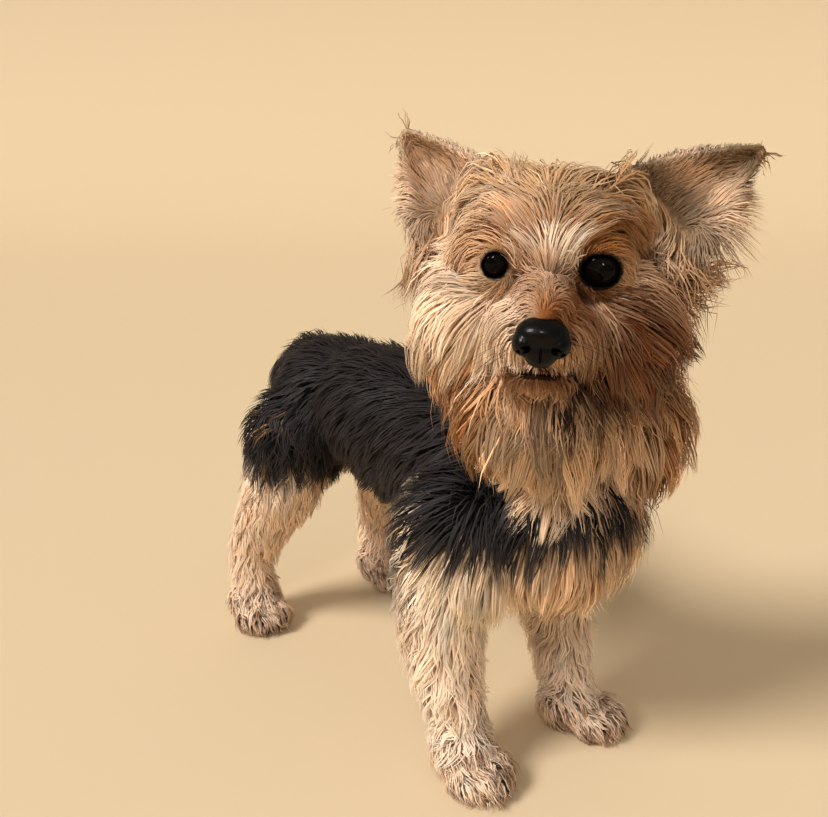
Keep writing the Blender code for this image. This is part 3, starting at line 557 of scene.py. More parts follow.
def lieOfFace(region, inHead, turned):
    # Outward from the middle line, hanging at the sides, back and down behind, out along the ears
    x, back, up = inHead.T
    across = np.abs(x)
    side = np.clip(x / 0.004, -1.0, 1.0)
    ones = np.ones(len(x))
    rise = np.radians(np.interp(faceAngle(inHead), (-90, -60, -30, -10, 8, 30, 60, 90),
                                (-88, -80, -58, -36, -10, 20, 44, 58)))
    sweep = np.interp(back, (-0.03, 0.0, 0.04), (0.10, 0.30, 0.90))
    face = np.stack([side * np.cos(rise), sweep, np.sin(rise)], axis=1)
    hang = smoothStep(0.020, 0.036, across) * smoothStep(-0.016, 0.006, up)
    aside = smoothStep(-0.030, -0.042, x) * smoothStep(-0.050, -0.024, up)
    hang = np.maximum(hang, aside * 0.8) * smoothStep(0.044, 0.026, up)
    face = blend(face, np.stack([side * 0.25, ones * 0.30, -ones], axis=1), hang * 0.92)
    lobe = smoothStep(0.040, 0.050, across)
    fall = np.stack([side * 0.35 * lobe, 0.65 - 0.55 * lobe, -ones], axis=1)
    face = blend(face, fall, smoothStep(0.030, 0.055, back) * 0.85)
    flat = smoothStep(0.45, 0.80, turned[:, 2]) * smoothStep(0.018, 0.030, up)
    face = blend(face, np.stack([side * 0.55, ones * 0.80, ones * 0.0], axis=1), flat * 0.9)
    face = roundEyes(inHead, unit(face))
    for ear, outward, own, u, v in eachEar(region, inHead):
        length, alongEar, acrossEar, out = earAxes(ear)
        edge = np.clip(v * outward, -1.0, 1.0)
        rim = smoothStep(0.35, 1.0, np.abs(edge))
        way = alongEar * (1.0 - 0.35 * rim)[:, None]
        way = way + np.outer(v * np.interp(u, (0.3, 0.7), (0.55, 0.20)), acrossEar)
        way = way + np.outer(smoothStep(0.3, 1.0, edge) * (1.0 - np.clip(u, 0.0, 1.0)), (0.0, 0.0, -1.0))
        face[own] = way[own]
        base = smoothStep(0.28, 0.05, u) * smoothStep(0.1, 0.6, v * outward)
        face[own] = blend(unit(face[own]), np.array((0.35 * outward, 0.1, -1.0)), base[own])
    return face


def headSizes(inHead):
    # Shorter round the nose, the eyes, the lips and on the crown, deeper on the cheeks
    x, back, up = inHead.T
    across = np.abs(x)
    fromNose = np.linalg.norm(inHead - nose, axis=1)
    length = np.interp(fromNose, (0.010, 0.014, 0.020, 0.034, 0.048, 0.070),
                       (0.0075, 0.0160, 0.0230, 0.0280, 0.0330, 0.0360))
    length += 0.012 * smoothStep(-20, -55, faceAngle(inHead)) * smoothStep(0.016, 0.034, fromNose)
    nearEar = smoothStep(0.026, 0.040, across) * smoothStep(0.0, 0.014, up)
    length *= 1.0 - 0.45 * nearEar
    around = np.linalg.norm(eyeSide(inHead), axis=1) + 40.0 * np.clip(back - 0.004, 0.0, 1.0)
    own = np.interp(around, (1.05, 1.4, 2.0, 2.8), (0.18, 0.42, 0.85, 1.0))
    inner = smoothStep(0.016, 0.010, across) * 0.6
    below = smoothStep(-0.5, -1.1, eyeSide(inHead)[:, 1]) * smoothStep(1.1, 1.5, around) * 0.7
    length *= own + (1.0 - own) * np.maximum(inner, below)
    bridge = smoothStep(0.011, 0.005, across) * smoothStep(-0.022, -0.016, up) * smoothStep(0.014, 0.004, up)
    length *= 1.0 - 0.32 * bridge
    besideLips = np.clip(across - 0.010, 0.0, 1.0)
    fromLips = np.abs(up - mouth["level"]) + 0.5 * besideLips + np.clip(back + 0.010, 0.0, 1.0)
    length *= np.interp(fromLips, (0.001, 0.004, 0.009), (0.36, 0.62, 1.0))
    overLips = aboveLips(inHead)
    room = 0.0008 + 0.85 * np.clip(overLips, 0.0, 1.0) + 2.0 * besideLips
    length = np.where((overLips > 0.0) & (back < -0.006), np.minimum(length, room), length)
    depth = np.interp(fromNose, (0.010, 0.015, 0.024, 0.036, 0.050), (0.0016, 0.0055, 0.0110, 0.0135, 0.0150))
    depth *= np.maximum(np.interp(around, (1.05, 1.5, 2.2, 3.0), (0.08, 0.28, 0.75, 1.0)), below * 0.8)
    depth *= np.interp(fromLips, (0.001, 0.004, 0.009), (0.20, 0.50, 1.0)) * (1.0 - 0.45 * bridge)
    cheek = smoothStep(0.024, 0.036, across) * smoothStep(0.010, -0.008, up)
    cheek *= smoothStep(-0.056, -0.040, up) * np.where(x > 0, 1.0, smoothStep(-0.012, -0.026, up))
    cheek *= smoothStep(0.058, 0.046, across)
    length += 0.008 * cheek
    depth += (0.005 + 0.013 * (x > 0)) * cheek
    muzzle = smoothStep(0.036, 0.020, fromNose) * smoothStep(0.004, 0.009, across)
    muzzle *= smoothStep(-0.002, -0.010, up)
    rearCrown = smoothStep(0.016, 0.030, back) * smoothStep(0.018, 0.030, up)
    sideCrown = smoothStep(0.018, 0.030, across) * smoothStep(0.018, 0.028, up)
    return {
        "length": length * ((1.0 - 0.3 * rearCrown) * (1.0 - 0.60 * sideCrown)),
        "depth": depth * (1.0 - 0.45 * sideCrown) + 0.005 * smoothStep(0.022, 0.032, up),
        "lift": 22 + 32 * cheek + 40 * muzzle - 10 * rearCrown,
        "width": np.interp(length, (0.004, 0.012, 0.030), (0.00036, 0.00052, 0.00072)),
        "lock": np.interp(length, (0.004, 0.012, 0.030, 0.045), (0.0015, 0.0040, 0.0072, 0.0105)),
        "gather": np.interp(length, (0.012, 0.030, 0.045), (0.50, 0.62, 0.84)),
        "wave": np.interp(length, (0.012, 0.030, 0.045), (0.0003, 0.0009, 0.0018)),
    }


def sizesOfCoat(region, dog, inHead):
    # Length, depth, width and the rest of each tuft, from its region's rule and its place
    sizes = {key: np.array([coatRules[name][key] for name in regions], float)[region]
             for key in ("length", "depth", "width", "gather", "lock", "wave", "weight", "lift")}
    head = region == onHead
    for key, value in headSizes(inHead[head]).items():
        sizes[key][head] = value
    x, y, z = dog.T
    breast = (region == onTorso) & (y < 0.015)
    sizes["length"][breast] = 0.032
    sizes["depth"][breast] = 0.015
    lowLeg = np.isin(region, (onFrontLeg, onHindLeg)) * smoothStep(0.060, 0.028, z)
    trimmed = np.isin(region, (onHead, onNeck)) * smoothStep(0.012, -0.004, inHead[:, 0])
    trimmed *= smoothStep(-0.050, -0.085, inHead[:, 2])
    mane = (region == onNeck) * smoothStep(0.010, 0.030, x)
    elbow = (region == onFrontLeg) * smoothStep(0.050, 0.085, z)
    shoulder = (region == onTorso) * smoothStep(0.012, 0.028, x) * smoothStep(0.045, 0.020, y)
    highNeck = (region == onNeck) * smoothStep(0.225, 0.240, z)
    # Where, what shrinks there by which share, and what is added
    for share, shrink, more in (
        (lowLeg, {"length": 0.30, "depth": 0.30}, {}),
        (trimmed, {"length": 0.50}, {}),
        (mane, {}, {"depth": 0.007, "lift": 14}),
        (elbow, {}, {"length": 0.006, "depth": 0.003, "lift": 10}),
        (shoulder, {}, {"length": 0.006, "depth": 0.007, "lift": 16}),
        (highNeck, {"length": 0.70, "depth": 0.50, "lift": 0.60}, {}),
    ):
        for key, part in shrink.items():
            sizes[key] *= 1.0 - part * share
        for key, part in more.items():
            sizes[key] += part * share
    for ear, outward, own, u, v in eachEar(region, inHead):
        fringe = smoothStep(0.35, 0.9, v * outward) * smoothStep(0.75, 0.25, u)
        upper = smoothStep(-0.1, -0.4, v * outward) * smoothStep(0.35, 0.15, u)
        length = sizes["length"] + (0.013 if outward > 0 else 0.001) * fringe
        length *= np.interp(u, (0.0, 0.3, 0.6, 0.8, 0.9, 1.0), (0.9, 1.0, 0.7, 0.4, 0.24, 0.12))
        length *= 1.0 - 0.6 * upper
        length *= np.interp(v * outward, (-1.0, -0.5, 0.0), (0.40, 0.65, 1.0))
        sizes["length"][own] = length[own]
        sizes["depth"][own] *= np.interp(u, (0.6, 1.0), (1.0, 0.3))[own]
    return sizes


def nearestOn(tree, points):
    place = np.empty_like(points)
    normal = np.empty_like(points)
    for i, point in enumerate(points.tolist()):
        found = tree.find_nearest(point)
        place[i] = found[0]
        normal[i] = found[1]
    return place, normal


def growPaths(tree, roots, normals, region, stray, sizes, rank, steps):
    # Each tuft leaves the skin, turns into the lie, bends with its weight and stays over the skin
    lift = np.radians(sizes["lift"])[:, None]
    lie = runAt(region, roots, normals, stray)
    start = unit(lie - normals * dot(lie, normals))
    way = unit(start * np.cos(lift) + normals * np.sin(lift))
    point = roots.copy()
    path = [roots - normals * 0.0012]
    ups = [normals]
    for k in range(1, steps + 1):
        share = k / steps
        point = point + way * (sizes["length"] / steps)[:, None]
        place, normal = nearestOn(tree, point)
        above = dot(point - place, normal)[:, 0]
        need = sizes["depth"] * rank * share ** 0.6
        low = above < need
        point[low] = place[low] + normal[low] * need[low, None]
        lie = runAt(region, point, normal, stray)
        free = smoothStep(1.2, 2.2, above / np.maximum(sizes["depth"], 0.001))
        along = unit(lie - normal * dot(lie, normal) * (1.0 - free)[:, None])
        way = unit(way * 0.45 + along * 0.65 + down * (sizes["weight"] * share)[:, None])
        path.append(point.copy())
        ups.append(normal)
    return np.stack(path, 1), np.stack(ups, 1)


def runAt(region, points, normals, stray):
    turned = normals @ headInverse[:3, :3].T
    return unit(lieOfCoat(region, points - shiftArray, toHead(points), turned) + stray)


# Half width and height kept clear in front of each eye, and the nose's half sizes
eyeClear = {-1: (0.0053, 0.0056), 1: (0.0080, 0.0071)}
noseClear = (0.0116, 0.0115, 0.0098)


def clearOfEyes(path):
    # Points in the head's frame, pushed sideways out of the opening before each eye
    x, y, z = pose["eyeAt"]
    ahead = 0.004
    for side, clear in eyeClear.items():
        half = np.array(clear)
        middle = np.array((side * x, z))
        for last in (False, True):
            away = (path[..., (0, 2)] - middle) / half
            size = np.linalg.norm(away, axis=-1)
            near = (size < 1.0) & (path[..., 1] < ahead)
            grown = away / np.maximum(size, 1e-6)[..., None] * half + middle
            path[..., 0] = np.where(near, grown[..., 0], path[..., 0])
            path[..., 2] = np.where(near, grown[..., 1], path[..., 2])
            between = (path[:, 1:] + path[:, :-1]) / 2
            size = np.linalg.norm((between[..., (0, 2)] - middle) / half, axis=-1)
            crossing = ((size < 0.96) & (between[..., 1] < ahead)).any(axis=1) & (not last)
            path[crossing] = path[crossing, :1] + (path[crossing] - path[crossing, :1]) * 0.45
    return path


def keepOffFace(path):
    # The eyes and the nose stay clear of the hair round them
    inHead = clearOfEyes(toHead(path))
    middle = nose + np.array((0.0, -0.001, 0.0))
    away = (inHead - middle) / np.array(noseClear)
    size = np.linalg.norm(away, axis=-1, keepdims=True)
    pushed = middle + away / np.maximum(size, 1e-6) * np.array(noseClear)
    inHead = np.where(size < 1.0, pushed, inHead)
    forward = np.array(headFrame)
    return inHead @ forward[:3, :3].T + forward[:3, 3]


# Colours of the coat, as red, green and blue from 0 to 255
coatColours = {
    "tan": (222, 178, 140),
    "gold": (200, 144, 86),
    "russet": (150, 84, 24),
    "pale": (240, 210, 180),
    "cream": (250, 232, 208),
    "ruff": (200, 156, 114),
    "olive": (166, 136, 100),
    "steel": (17, 14, 14),
    "steelTip": (52, 47, 48),
    "umber": (92, 42, 8),
    # the dark brown of painted shadow
    "paintedShadow": (48, 22, 12),
    "shade": (92, 72, 48),
    "leg": (242, 214, 188),
    "earInside": (226, 184, 148),
    "earRim": (240, 208, 178),
}
tone = {name: linear(rgb) for name, rgb in coatColours.items()}


def faceMarks(inHead, patch, fine):
    # Each mark of the face: where, tone and most of it along the tuft, tone and most of it at the tip
    x, back, up = inHead.T
    across = np.abs(x)
    forehead = smoothStep(12, 45, faceAngle(inHead))
    streak = np.exp(-((x - 0.0035) / 0.0066) ** 2 - ((up - 0.0018) / 0.0046) ** 2) * (0.85 + 0.15 * fine)
    bridge = smoothStep(0.016, 0.006, across) * smoothStep(0.018, 0.004, up) * smoothStep(-0.022, -0.012, up)
    bridge *= smoothStep(0.010, -0.006, back) * (1.0 - streak)
    # brow: russet over the dog's left eye, part the dog's own russet hair and part painted shade on the
    # forehead's side away from the key light
    brow = smoothStep(0.002, 0.014, x) * smoothStep(-0.002, 0.006, up) * smoothStep(0.032, 0.022, up)
    brow *= smoothStep(0.030, 0.021, x)
    fromEye = np.hypot(across - pose["eyeAt"][0], up - pose["eyeAt"][2]) + np.clip(back, 0.0, 1.0)
    ring = smoothStep(0.0130, 0.0080, fromEye) * (1.0 - streak)
    ring *= np.interp(x, (-0.001, 0.001, 0.020, 0.026), (0.25, 0.8, 0.8, 0.3))
    # lips: darker hair round the mouth, with painted shade in the crease of the mouth
    lips = smoothStep(0.0075, 0.0025, np.abs(aboveLips(inHead)) + 0.20 * across)
    lips *= smoothStep(0.0, -0.010, back)
    # shaded: painted shade on the dog's left cheek and muzzle, the side away from the key light, over some
    # red-brown hair of its own
    shaded = smoothStep(0.004, 0.018, x) * smoothStep(-0.002, -0.012, up) * smoothStep(-0.055, -0.044, up)
    # lit: painted light, paler hair on the dog's right cheek and muzzle, the side that faces the key light
    lit = smoothStep(0.0, -0.009, x) * smoothStep(0.003, -0.006, up) * smoothStep(-0.038, -0.024, up)
    # deep: deeper painted shade low on the dog's left cheek
    deep = smoothStep(0.016, 0.026, x) * smoothStep(-0.008, -0.020, up) * smoothStep(-0.050, -0.040, up)
    crown = 0.7 * smoothStep(0.006, 0.018, up + 0.003 * patch) + 0.3 * smoothStep(0.024, 0.036, up)
    crown *= 1.0 - 0.7 * smoothStep(0.005, 0.013, x) * smoothStep(0.024, 0.014, up)
    crown = np.maximum(crown, smoothStep(0.036, 0.048, across) * smoothStep(-0.002, 0.014, up))
    # darkEdge: near-black patches at the outer edge of the dog's left cheek, painted shade
    darkEdge = smoothStep(0.036, 0.046, x) * smoothStep(-0.012, -0.022, up) * smoothStep(-0.052, -0.040, up)
    darkEdge *= smoothStep(-0.1, 0.4, fine)
    rear = smoothStep(0.040, 0.058, back + 0.004 * patch) * smoothStep(0.052, 0.042, across)
    beard = smoothStep(-0.030, -0.050, up)
    # jaw: painted shade, russet low on the dog's right cheek where it folds into the ruff
    jaw = smoothStep(-0.006, -0.014, x) * smoothStep(-0.028, -0.040, up)
    # paintedShadow: a painted shadow under the corner of the mouth on the dog's left side
    paintedShadow = np.clip(1.9 * np.exp(-((x - 0.013) / 0.010) ** 2 - ((up + 0.036) / 0.011) ** 2), 0.0, 1.0)
    paintedShadow *= smoothStep(-0.022, -0.012, back)
    return [
        (forehead, "gold", 0.55, "pale", 0.0),
        (bridge, "russet", 0.90, "russet", 0.65),
        (bridge, "umber", 0.15, "russet", 0.0),
        (brow, "russet", 0.75, "gold", 0.80),
        (brow, "russet", 0.0, "russet", 0.30),
        (streak, "cream", 1.0, "cream", 1.0),
        (ring, "russet", 0.80, "gold", 0.70),
        (lips, "umber", 0.95, "umber", 0.85),
        (shaded, "umber", 0.82 + 0.18 * fine, "russet", 0.80 + 0.20 * fine),
        (lit, "pale", 0.90, "cream", 0.45),
        (deep, "paintedShadow", 0.40, "umber", 0.45),
        (crown, "olive", 0.75, "olive", 0.60),
        (darkEdge, "steel", 1.0, "steel", 1.0),
        (rear, "steel", 0.90, "steelTip", 0.90),
        (beard, "ruff", 0.80, "gold", 0.50),
        (beard, "ruff", 0.0, "cream", 0.45),
        (jaw, "russet", 0.60, "gold", 0.85),
        (jaw, "russet", 0.0, "russet", 0.25),
        (paintedShadow, "paintedShadow", 1.0, "paintedShadow", 0.97),
    ]


def bodyMarks(region, dog, inHead, turned, patch, fine):
    # The same for the neck, the trunk, the legs, the paws, the tail and the ears
    x, y, z = dog.T
    across = np.abs(x)
    neck, torso, front, hind, paw, tail = ((region == k).astype(float) for k in range(onNeck, onEar))
    nape = smoothStep(0.004, 0.024, y + 0.004 * patch)
    nape *= np.maximum(smoothStep(0.052, 0.040, np.abs(inHead[:, 0])), smoothStep(0.195, 0.175, z))
    # mane: painted shade, umber and gold on the dog's left side of the neck
    mane = smoothStep(0.004, 0.024, x + 0.004 * patch) * neck * (1.0 - nape) * smoothStep(0.240, 0.225, z)
    top = neck * smoothStep(0.225, 0.240, z)
    collar = neck * smoothStep(0.176, 0.166, z + 0.004 * patch + 0.009 * smoothStep(-0.020, -0.008, x))
    edge = np.interp(y, (-0.03, -0.005, 0.015, 0.03, 0.06, 0.12, 0.16, 0.21),
                     (0.150, 0.137, 0.127, 0.120, 0.124, 0.127, 0.120, 0.118))
    saddle = torso * smoothStep(-0.004, 0.004, z - (edge + 0.005 * patch + 0.003 * fine))
    away = np.linalg.norm(np.stack([across - 0.047, y, z - 0.112], axis=1) / 0.023, axis=1)
    white = np.clip(np.exp(-away ** 2) * 1.5, 0.0, 1.0) * (torso - saddle)
    back = smoothStep(0.012, 0.024, y + 0.004 * fine) * smoothStep(0.088, 0.122, z + 0.006 * patch)
    back *= front * smoothStep(0.035, 0.045, across)
    thigh = hind * smoothStep(0.112, 0.124, z + 0.005 * patch)
    stain = (front + hind) * smoothStep(0.5, 1.0, wobble(dog, 0.018, 9))
    # gaps: dark brown patches over the paws, painted shade between the curls
    gaps = paw * smoothStep(0.1, 0.7, wobble(dog, 0.008, 5))
    under = tail * smoothStep(-0.1, -0.7, turned[:, 2])
    marks = [
        (neck, "ruff", 1.0, "cream", 1.0),
        (neck, "ruff", 0.0, "gold", 0.40),
        (neck * nape, "steel", 1.0, "steelTip", 1.0),
        (neck, "umber", 0.24, "cream", 0.0),
        (top, "olive", 0.80, "olive", 0.80),
        (mane, "umber", 0.60, "gold", 0.75),
        (collar, "steel", 1.0, "steelTip", 1.0),
        (torso, "ruff", 1.0, "pale", 1.0),
        (saddle, "steel", 1.0, "steelTip", 1.0),
        (white, "cream", 1.0, "cream", 1.0),
        (front, "leg", 1.0, "cream", 1.0),
        (back, "steel", 0.90, "steelTip", 0.90),
        (hind, "leg", 1.0, "pale", 1.0),
        (thigh, "steel", 1.0, "steelTip", 1.0),
        (stain, "gold", 0.50, "pale", 0.0),
        (paw, "leg", 1.0, "pale", 1.0),
        (gaps, "umber", 0.75, "russet", 0.60),
        (tail, "steel", 1.0, "steelTip", 1.0),
        (under, "gold", 0.10, "tan", 0.10),
    ]
    for ear, outward, own, u, v in eachEar(region, inHead):
        inside = own * smoothStep(-0.1, 0.2, turned @ earAxes(ear)[3])
        # band: painted shade round each ear's base and, on the left ear, further up the inside; darker olive
        # hair at the base as well
        band = smoothStep(0.36, 0.10, u) * (0.75 if outward > 0 else 0.35)
        band = np.maximum(band, smoothStep(0.35, 0.60, u) * (0.55 if outward > 0 else 0.0))
        dark = smoothStep(0.55, 0.95, u) * (0.9 if outward > 0 else 0.2)
        marks += [
            (own, "olive", 1.0, "olive", 1.0),
            (inside, "earInside", 1.0, "earRim", 1.0),
            (own * smoothStep(0.45, 0.85, np.abs(v)), "earRim", 0.80, "pale", 0.80),
            (own * dark, "olive", 1.0, "olive", 1.0),
            (own * band, "shade", 1.0, "shade", 1.0),
        ]
    return marks


def tintOfCoat(region, dog, inHead, turned):
    # Colour of each tuft along its length and at its tip: the dog's markings
    patch = wobble(dog, 0.030, 3)
    fine = wobble(dog, 0.011, 4)
    body = np.tile(tone["tan"], (len(dog), 1))
    tip = np.tile(tone["pale"], (len(dog), 1))
    head = region == onHead
    marks = [(share * head, *rest) for share, *rest in faceMarks(inHead, patch, fine)]
    marks += bodyMarks(region, dog, inHead, turned, patch, fine)
    for share, onBody, bodyMost, onTip, tipMost in marks:
        body = blend(body, tone[onBody], share * bodyMost)
        tip = blend(tip, tone[onTip], share * tipMost)
    return body, tip


def paintPoints(mesh, colours):
    tint = mesh.attributes.new("tint", "FLOAT_COLOR", "POINT")
    opaque = np.ones((len(colours), 1))
    tint.data.foreach_set("color", np.concatenate([colours, opaque], axis=1).astype(np.float32).ravel())


def readOut(items, key, size, kind=float):
    # One attribute of all the mesh's items, in rows of this size
    values = np.zeros(len(items) * size, kind)
    items.foreach_get(key, values)
    return values.reshape(-1, size)


def tuftMesh(name, path, ups, width, colours, uvs):
    # Closed three-sided tufts, flat underneath, that widen a little and run out to a tip
    count, knots = path.shape[:2]
    rings = knots - 1
    along = unit(np.diff(path, axis=1))
    across = unit(np.cross(along, ups[:, :rings]))
    top = np.cross(across, along)
    shape = np.interp(np.arange(rings) / rings, (0.0, 0.3, 0.6, 0.85), (0.70, 1.0, 0.82, 0.45))
    half = (width[:, None] * shape / 2)[..., None]
    deep = half * 0.28
    centre = path[:, :rings]
    corners = np.stack([centre - across * half - top * deep, centre + top * deep,
                        centre + across * half - top * deep], axis=2)
    points = np.concatenate([corners.reshape(count, rings * 3, 3), path[:, -1:]], axis=1)
    each = rings * 3 + 1
    faces = [(0, 2, 1)]
    for ring in range(rings - 1):
        for k in range(3):
            a, b = ring * 3 + k, ring * 3 + (k + 1) % 3
            faces += [(a, b, b + 3), (a, b + 3, a + 3)]
    for k in range(3):
        faces.append(((rings - 1) * 3 + k, (rings - 1) * 3 + (k + 1) % 3, each - 1))
    underneath = np.array([1.0] + [1.0, 1.0, 1.0, 1.0, -1.0, -1.0] * (rings - 1) + [1.0, 1.0, -1.0])
    faces = np.array(faces)
    indices = (np.arange(count)[:, None, None] * each + faces).reshape(-1, 3)
    points[..., 2] = np.maximum(points[..., 2], padLift)
    mesh = bpy.data.meshes.new(name)
    mesh.vertices.add(count * each)
    mesh.vertices.foreach_set("co", points.astype(np.float32).ravel())
    mesh.loops.add(indices.size)
    mesh.loops.foreach_set("vertex_index", indices.astype(np.int32).ravel())
    mesh.polygons.add(len(indices))
    mesh.polygons.foreach_set("loop_start", np.arange(0, indices.size, 3, dtype=np.int32))
    mesh.update(calc_edges=True)
    mesh.shade_smooth()
    # Normals that lean to the skin's own, so that the coat catches the light as one surface
    lean = np.stack([top - across * 0.7, top, top + across * 0.7], axis=2) + ups[:, :rings, None] * 0.6
    facing = unit(np.concatenate([lean.reshape(count, rings * 3, 3), ups[:, -1:]], axis=1)).reshape(-1, 3)
    facing = facing[indices.ravel()] * np.tile(np.repeat(underneath, 3), count)[:, None]
    mesh.normals_split_custom_set(facing.astype(np.float32))
    share = np.concatenate([np.repeat(np.arange(rings) / rings, 3), [1.0]])
    turnOf = np.concatenate([np.tile((0.0, 0.5, 1.0), rings), [0.5]])
    root, body, tip = colours
    mixed = blend(root[:, None], body[:, None], np.broadcast_to(smoothStep(0.0, 0.35, share), (count, each)))
    mixed = blend(mixed, tip[:, None], np.broadcast_to(smoothStep(0.35, 1.0, share), (count, each)))
    paintPoints(mesh, mixed.reshape(-1, 3))
    corner = np.tile(faces.ravel(), count)
    owner = np.repeat(np.arange(count), faces.size)
    patchSize = 0.003
    spot = np.stack([turnOf[corner], share[corner]], 1)
    bake = mesh.uv_layers.new(name="OFBake")
    bake.data.foreach_set("uv", (uvs[owner] + spot * patchSize).astype(np.float32).ravel())
    strand = mesh.uv_layers.new(name="strand")
    drift = rng.uniform(0.0, 40.0, (count, 2))
    strand.data.foreach_set("uv", (drift[owner] + spot * np.array((1.0, 0.6))).astype(np.float32).ravel())
    return newObject(name, mesh)


def sampleSkin(item):
    # Places on the skin, as many to the square centimetre as the region's rule says
    mesh = item.data
    mesh.calc_loop_triangles()
    count = len(mesh.loop_triangles)
    corners = readOut(mesh.loop_triangles, "vertices", 3, np.int32)
    loops = readOut(mesh.loop_triangles, "loops", 3, np.int32)
    # The cut's triangles come in any order, so they are sorted before the random draws
    turn = (np.arange(3) + corners.argmin(axis=1)[:, None]) % 3
    order = np.lexsort(np.sort(corners, axis=1).T)
    corners = np.take_along_axis(corners, turn, axis=1)[order]
    loops = np.take_along_axis(loops, turn, axis=1)[order]
    points = readOut(mesh.vertices, "co", 3)[corners]
    smooth = readOut(mesh.vertex_normals, "vector", 3)[corners]
    uvs = readOut(mesh.uv_layers["OFBake"].data, "uv", 2)[loops]
    area = np.linalg.norm(np.cross(points[:, 1] - points[:, 0], points[:, 2] - points[:, 0]), axis=1) / 2
    middle = points.mean(1)
    region, dog, inHead, turned = regionsOf(middle, unit(smooth.mean(1)))
    density = np.array([coatRules[name]["density"] for name in regions])[region] * 1e4
    head = region == onHead
    x, back, up = inHead.T
    fromNose = np.linalg.norm(inHead - nose, axis=1)
    density[head] *= np.interp(fromNose[head], (0.02, 0.045, 0.07), (2.4, 1.5, 0.75))
    density[(region == onEar) & (up < 0.026)] *= 1.5
    away = (inHead - nose) / np.array((0.0112, 0.0110, 0.0098))
    bare = np.linalg.norm(away, axis=1) < 1.0
    opening = np.where(x < 0, 1.16, 1.05)
    bare |= (np.linalg.norm(eyeSide(inHead), axis=1) < opening) & (back < pose["eyeAt"][1])
    fromEye = np.linalg.norm(np.stack([np.abs(x), back, up], 1) - np.array(pose["eyeAt"]), axis=1)
    bare |= fromEye < pose["eyeRadius"] + lids["thickness"] * 0.6
    lips = np.abs(up - mouth["level"] + mouth["drop"] * (x / 0.016) ** 2) < 0.0010
    bare |= lips & (back < -0.012) & head
    bare |= (region == onPaw) & (turned[:, 2] < -0.7) & (dog[:, 2] < 0.006)
    density[bare] = 0.0
    number = np.floor(area * density + rng.random(count)).astype(int)
    chosen = np.repeat(np.arange(count), number)
    a = np.sqrt(rng.random(len(chosen)))
    b = rng.random(len(chosen))
    weight = np.stack([1 - a, a * (1 - b), a * b], 1)[..., None]
    return ((points[chosen] * weight).sum(1), unit((smooth[chosen] * weight).sum(1)),
            (uvs[chosen] * weight).sum(1))


def gathered(roots, normals, path, sizes, strength):
    # Tufts near one another, on the same side of a thin ear, lean together into a pointed lock;
    # a short tuft doesn't follow a leader that is much longer
    count, knots = path.shape[:2]
    roots = roots + normals * 0.006
    order = rng.permutation(count)
    tree = KDTree(count)
    leader = np.full(count, -1)
    chosen = []
    taken = np.zeros(count, bool)
    for i, point in enumerate(roots.tolist()):
        tree.insert(point, i)
    tree.balance()
    for i in order.tolist():
        if taken[i]:
            continue
        chosen.append(i)
        for place, j, distance in tree.find_range(roots[i], sizes["lock"][i] * 0.62):
            taken[j] = True
    leaders = KDTree(len(chosen))
    for k, i in enumerate(chosen):
        leaders.insert(roots[i], k)
    leaders.balance()
    for i, point in enumerate(roots.tolist()):
        leader[i] = chosen[leaders.find(point)[1]]
    alone = sizes["length"][leader] > 1.5 * sizes["length"]
    leader[alone] = np.flatnonzero(alone)
    share = (np.arange(knots) / (knots - 1)) ** 1.4
    pull = (sizes["gather"] * strength)[:, None, None] * share[:, None]
    return path + (path[leader] - path) * pull, leader


def calmed(path, stride):
    # Tufts thrown across a thin fold or bent back on themselves are drawn in to their roots
    moves = np.diff(path, axis=1)
    reach = np.linalg.norm(moves, axis=2)
    heading = moves / np.maximum(reach, 1e-6)[..., None]
    bend = dot(heading[:, 1:], heading[:, :-1])[..., 0].min(axis=1)
    wild = (bend < 0.2) | (reach[:, 1:].max(axis=1) > 1.4 * stride + 0.001)
    path[wild] = path[wild, :1] + (path[wild] - path[wild, :1]) * 0.25
    return path


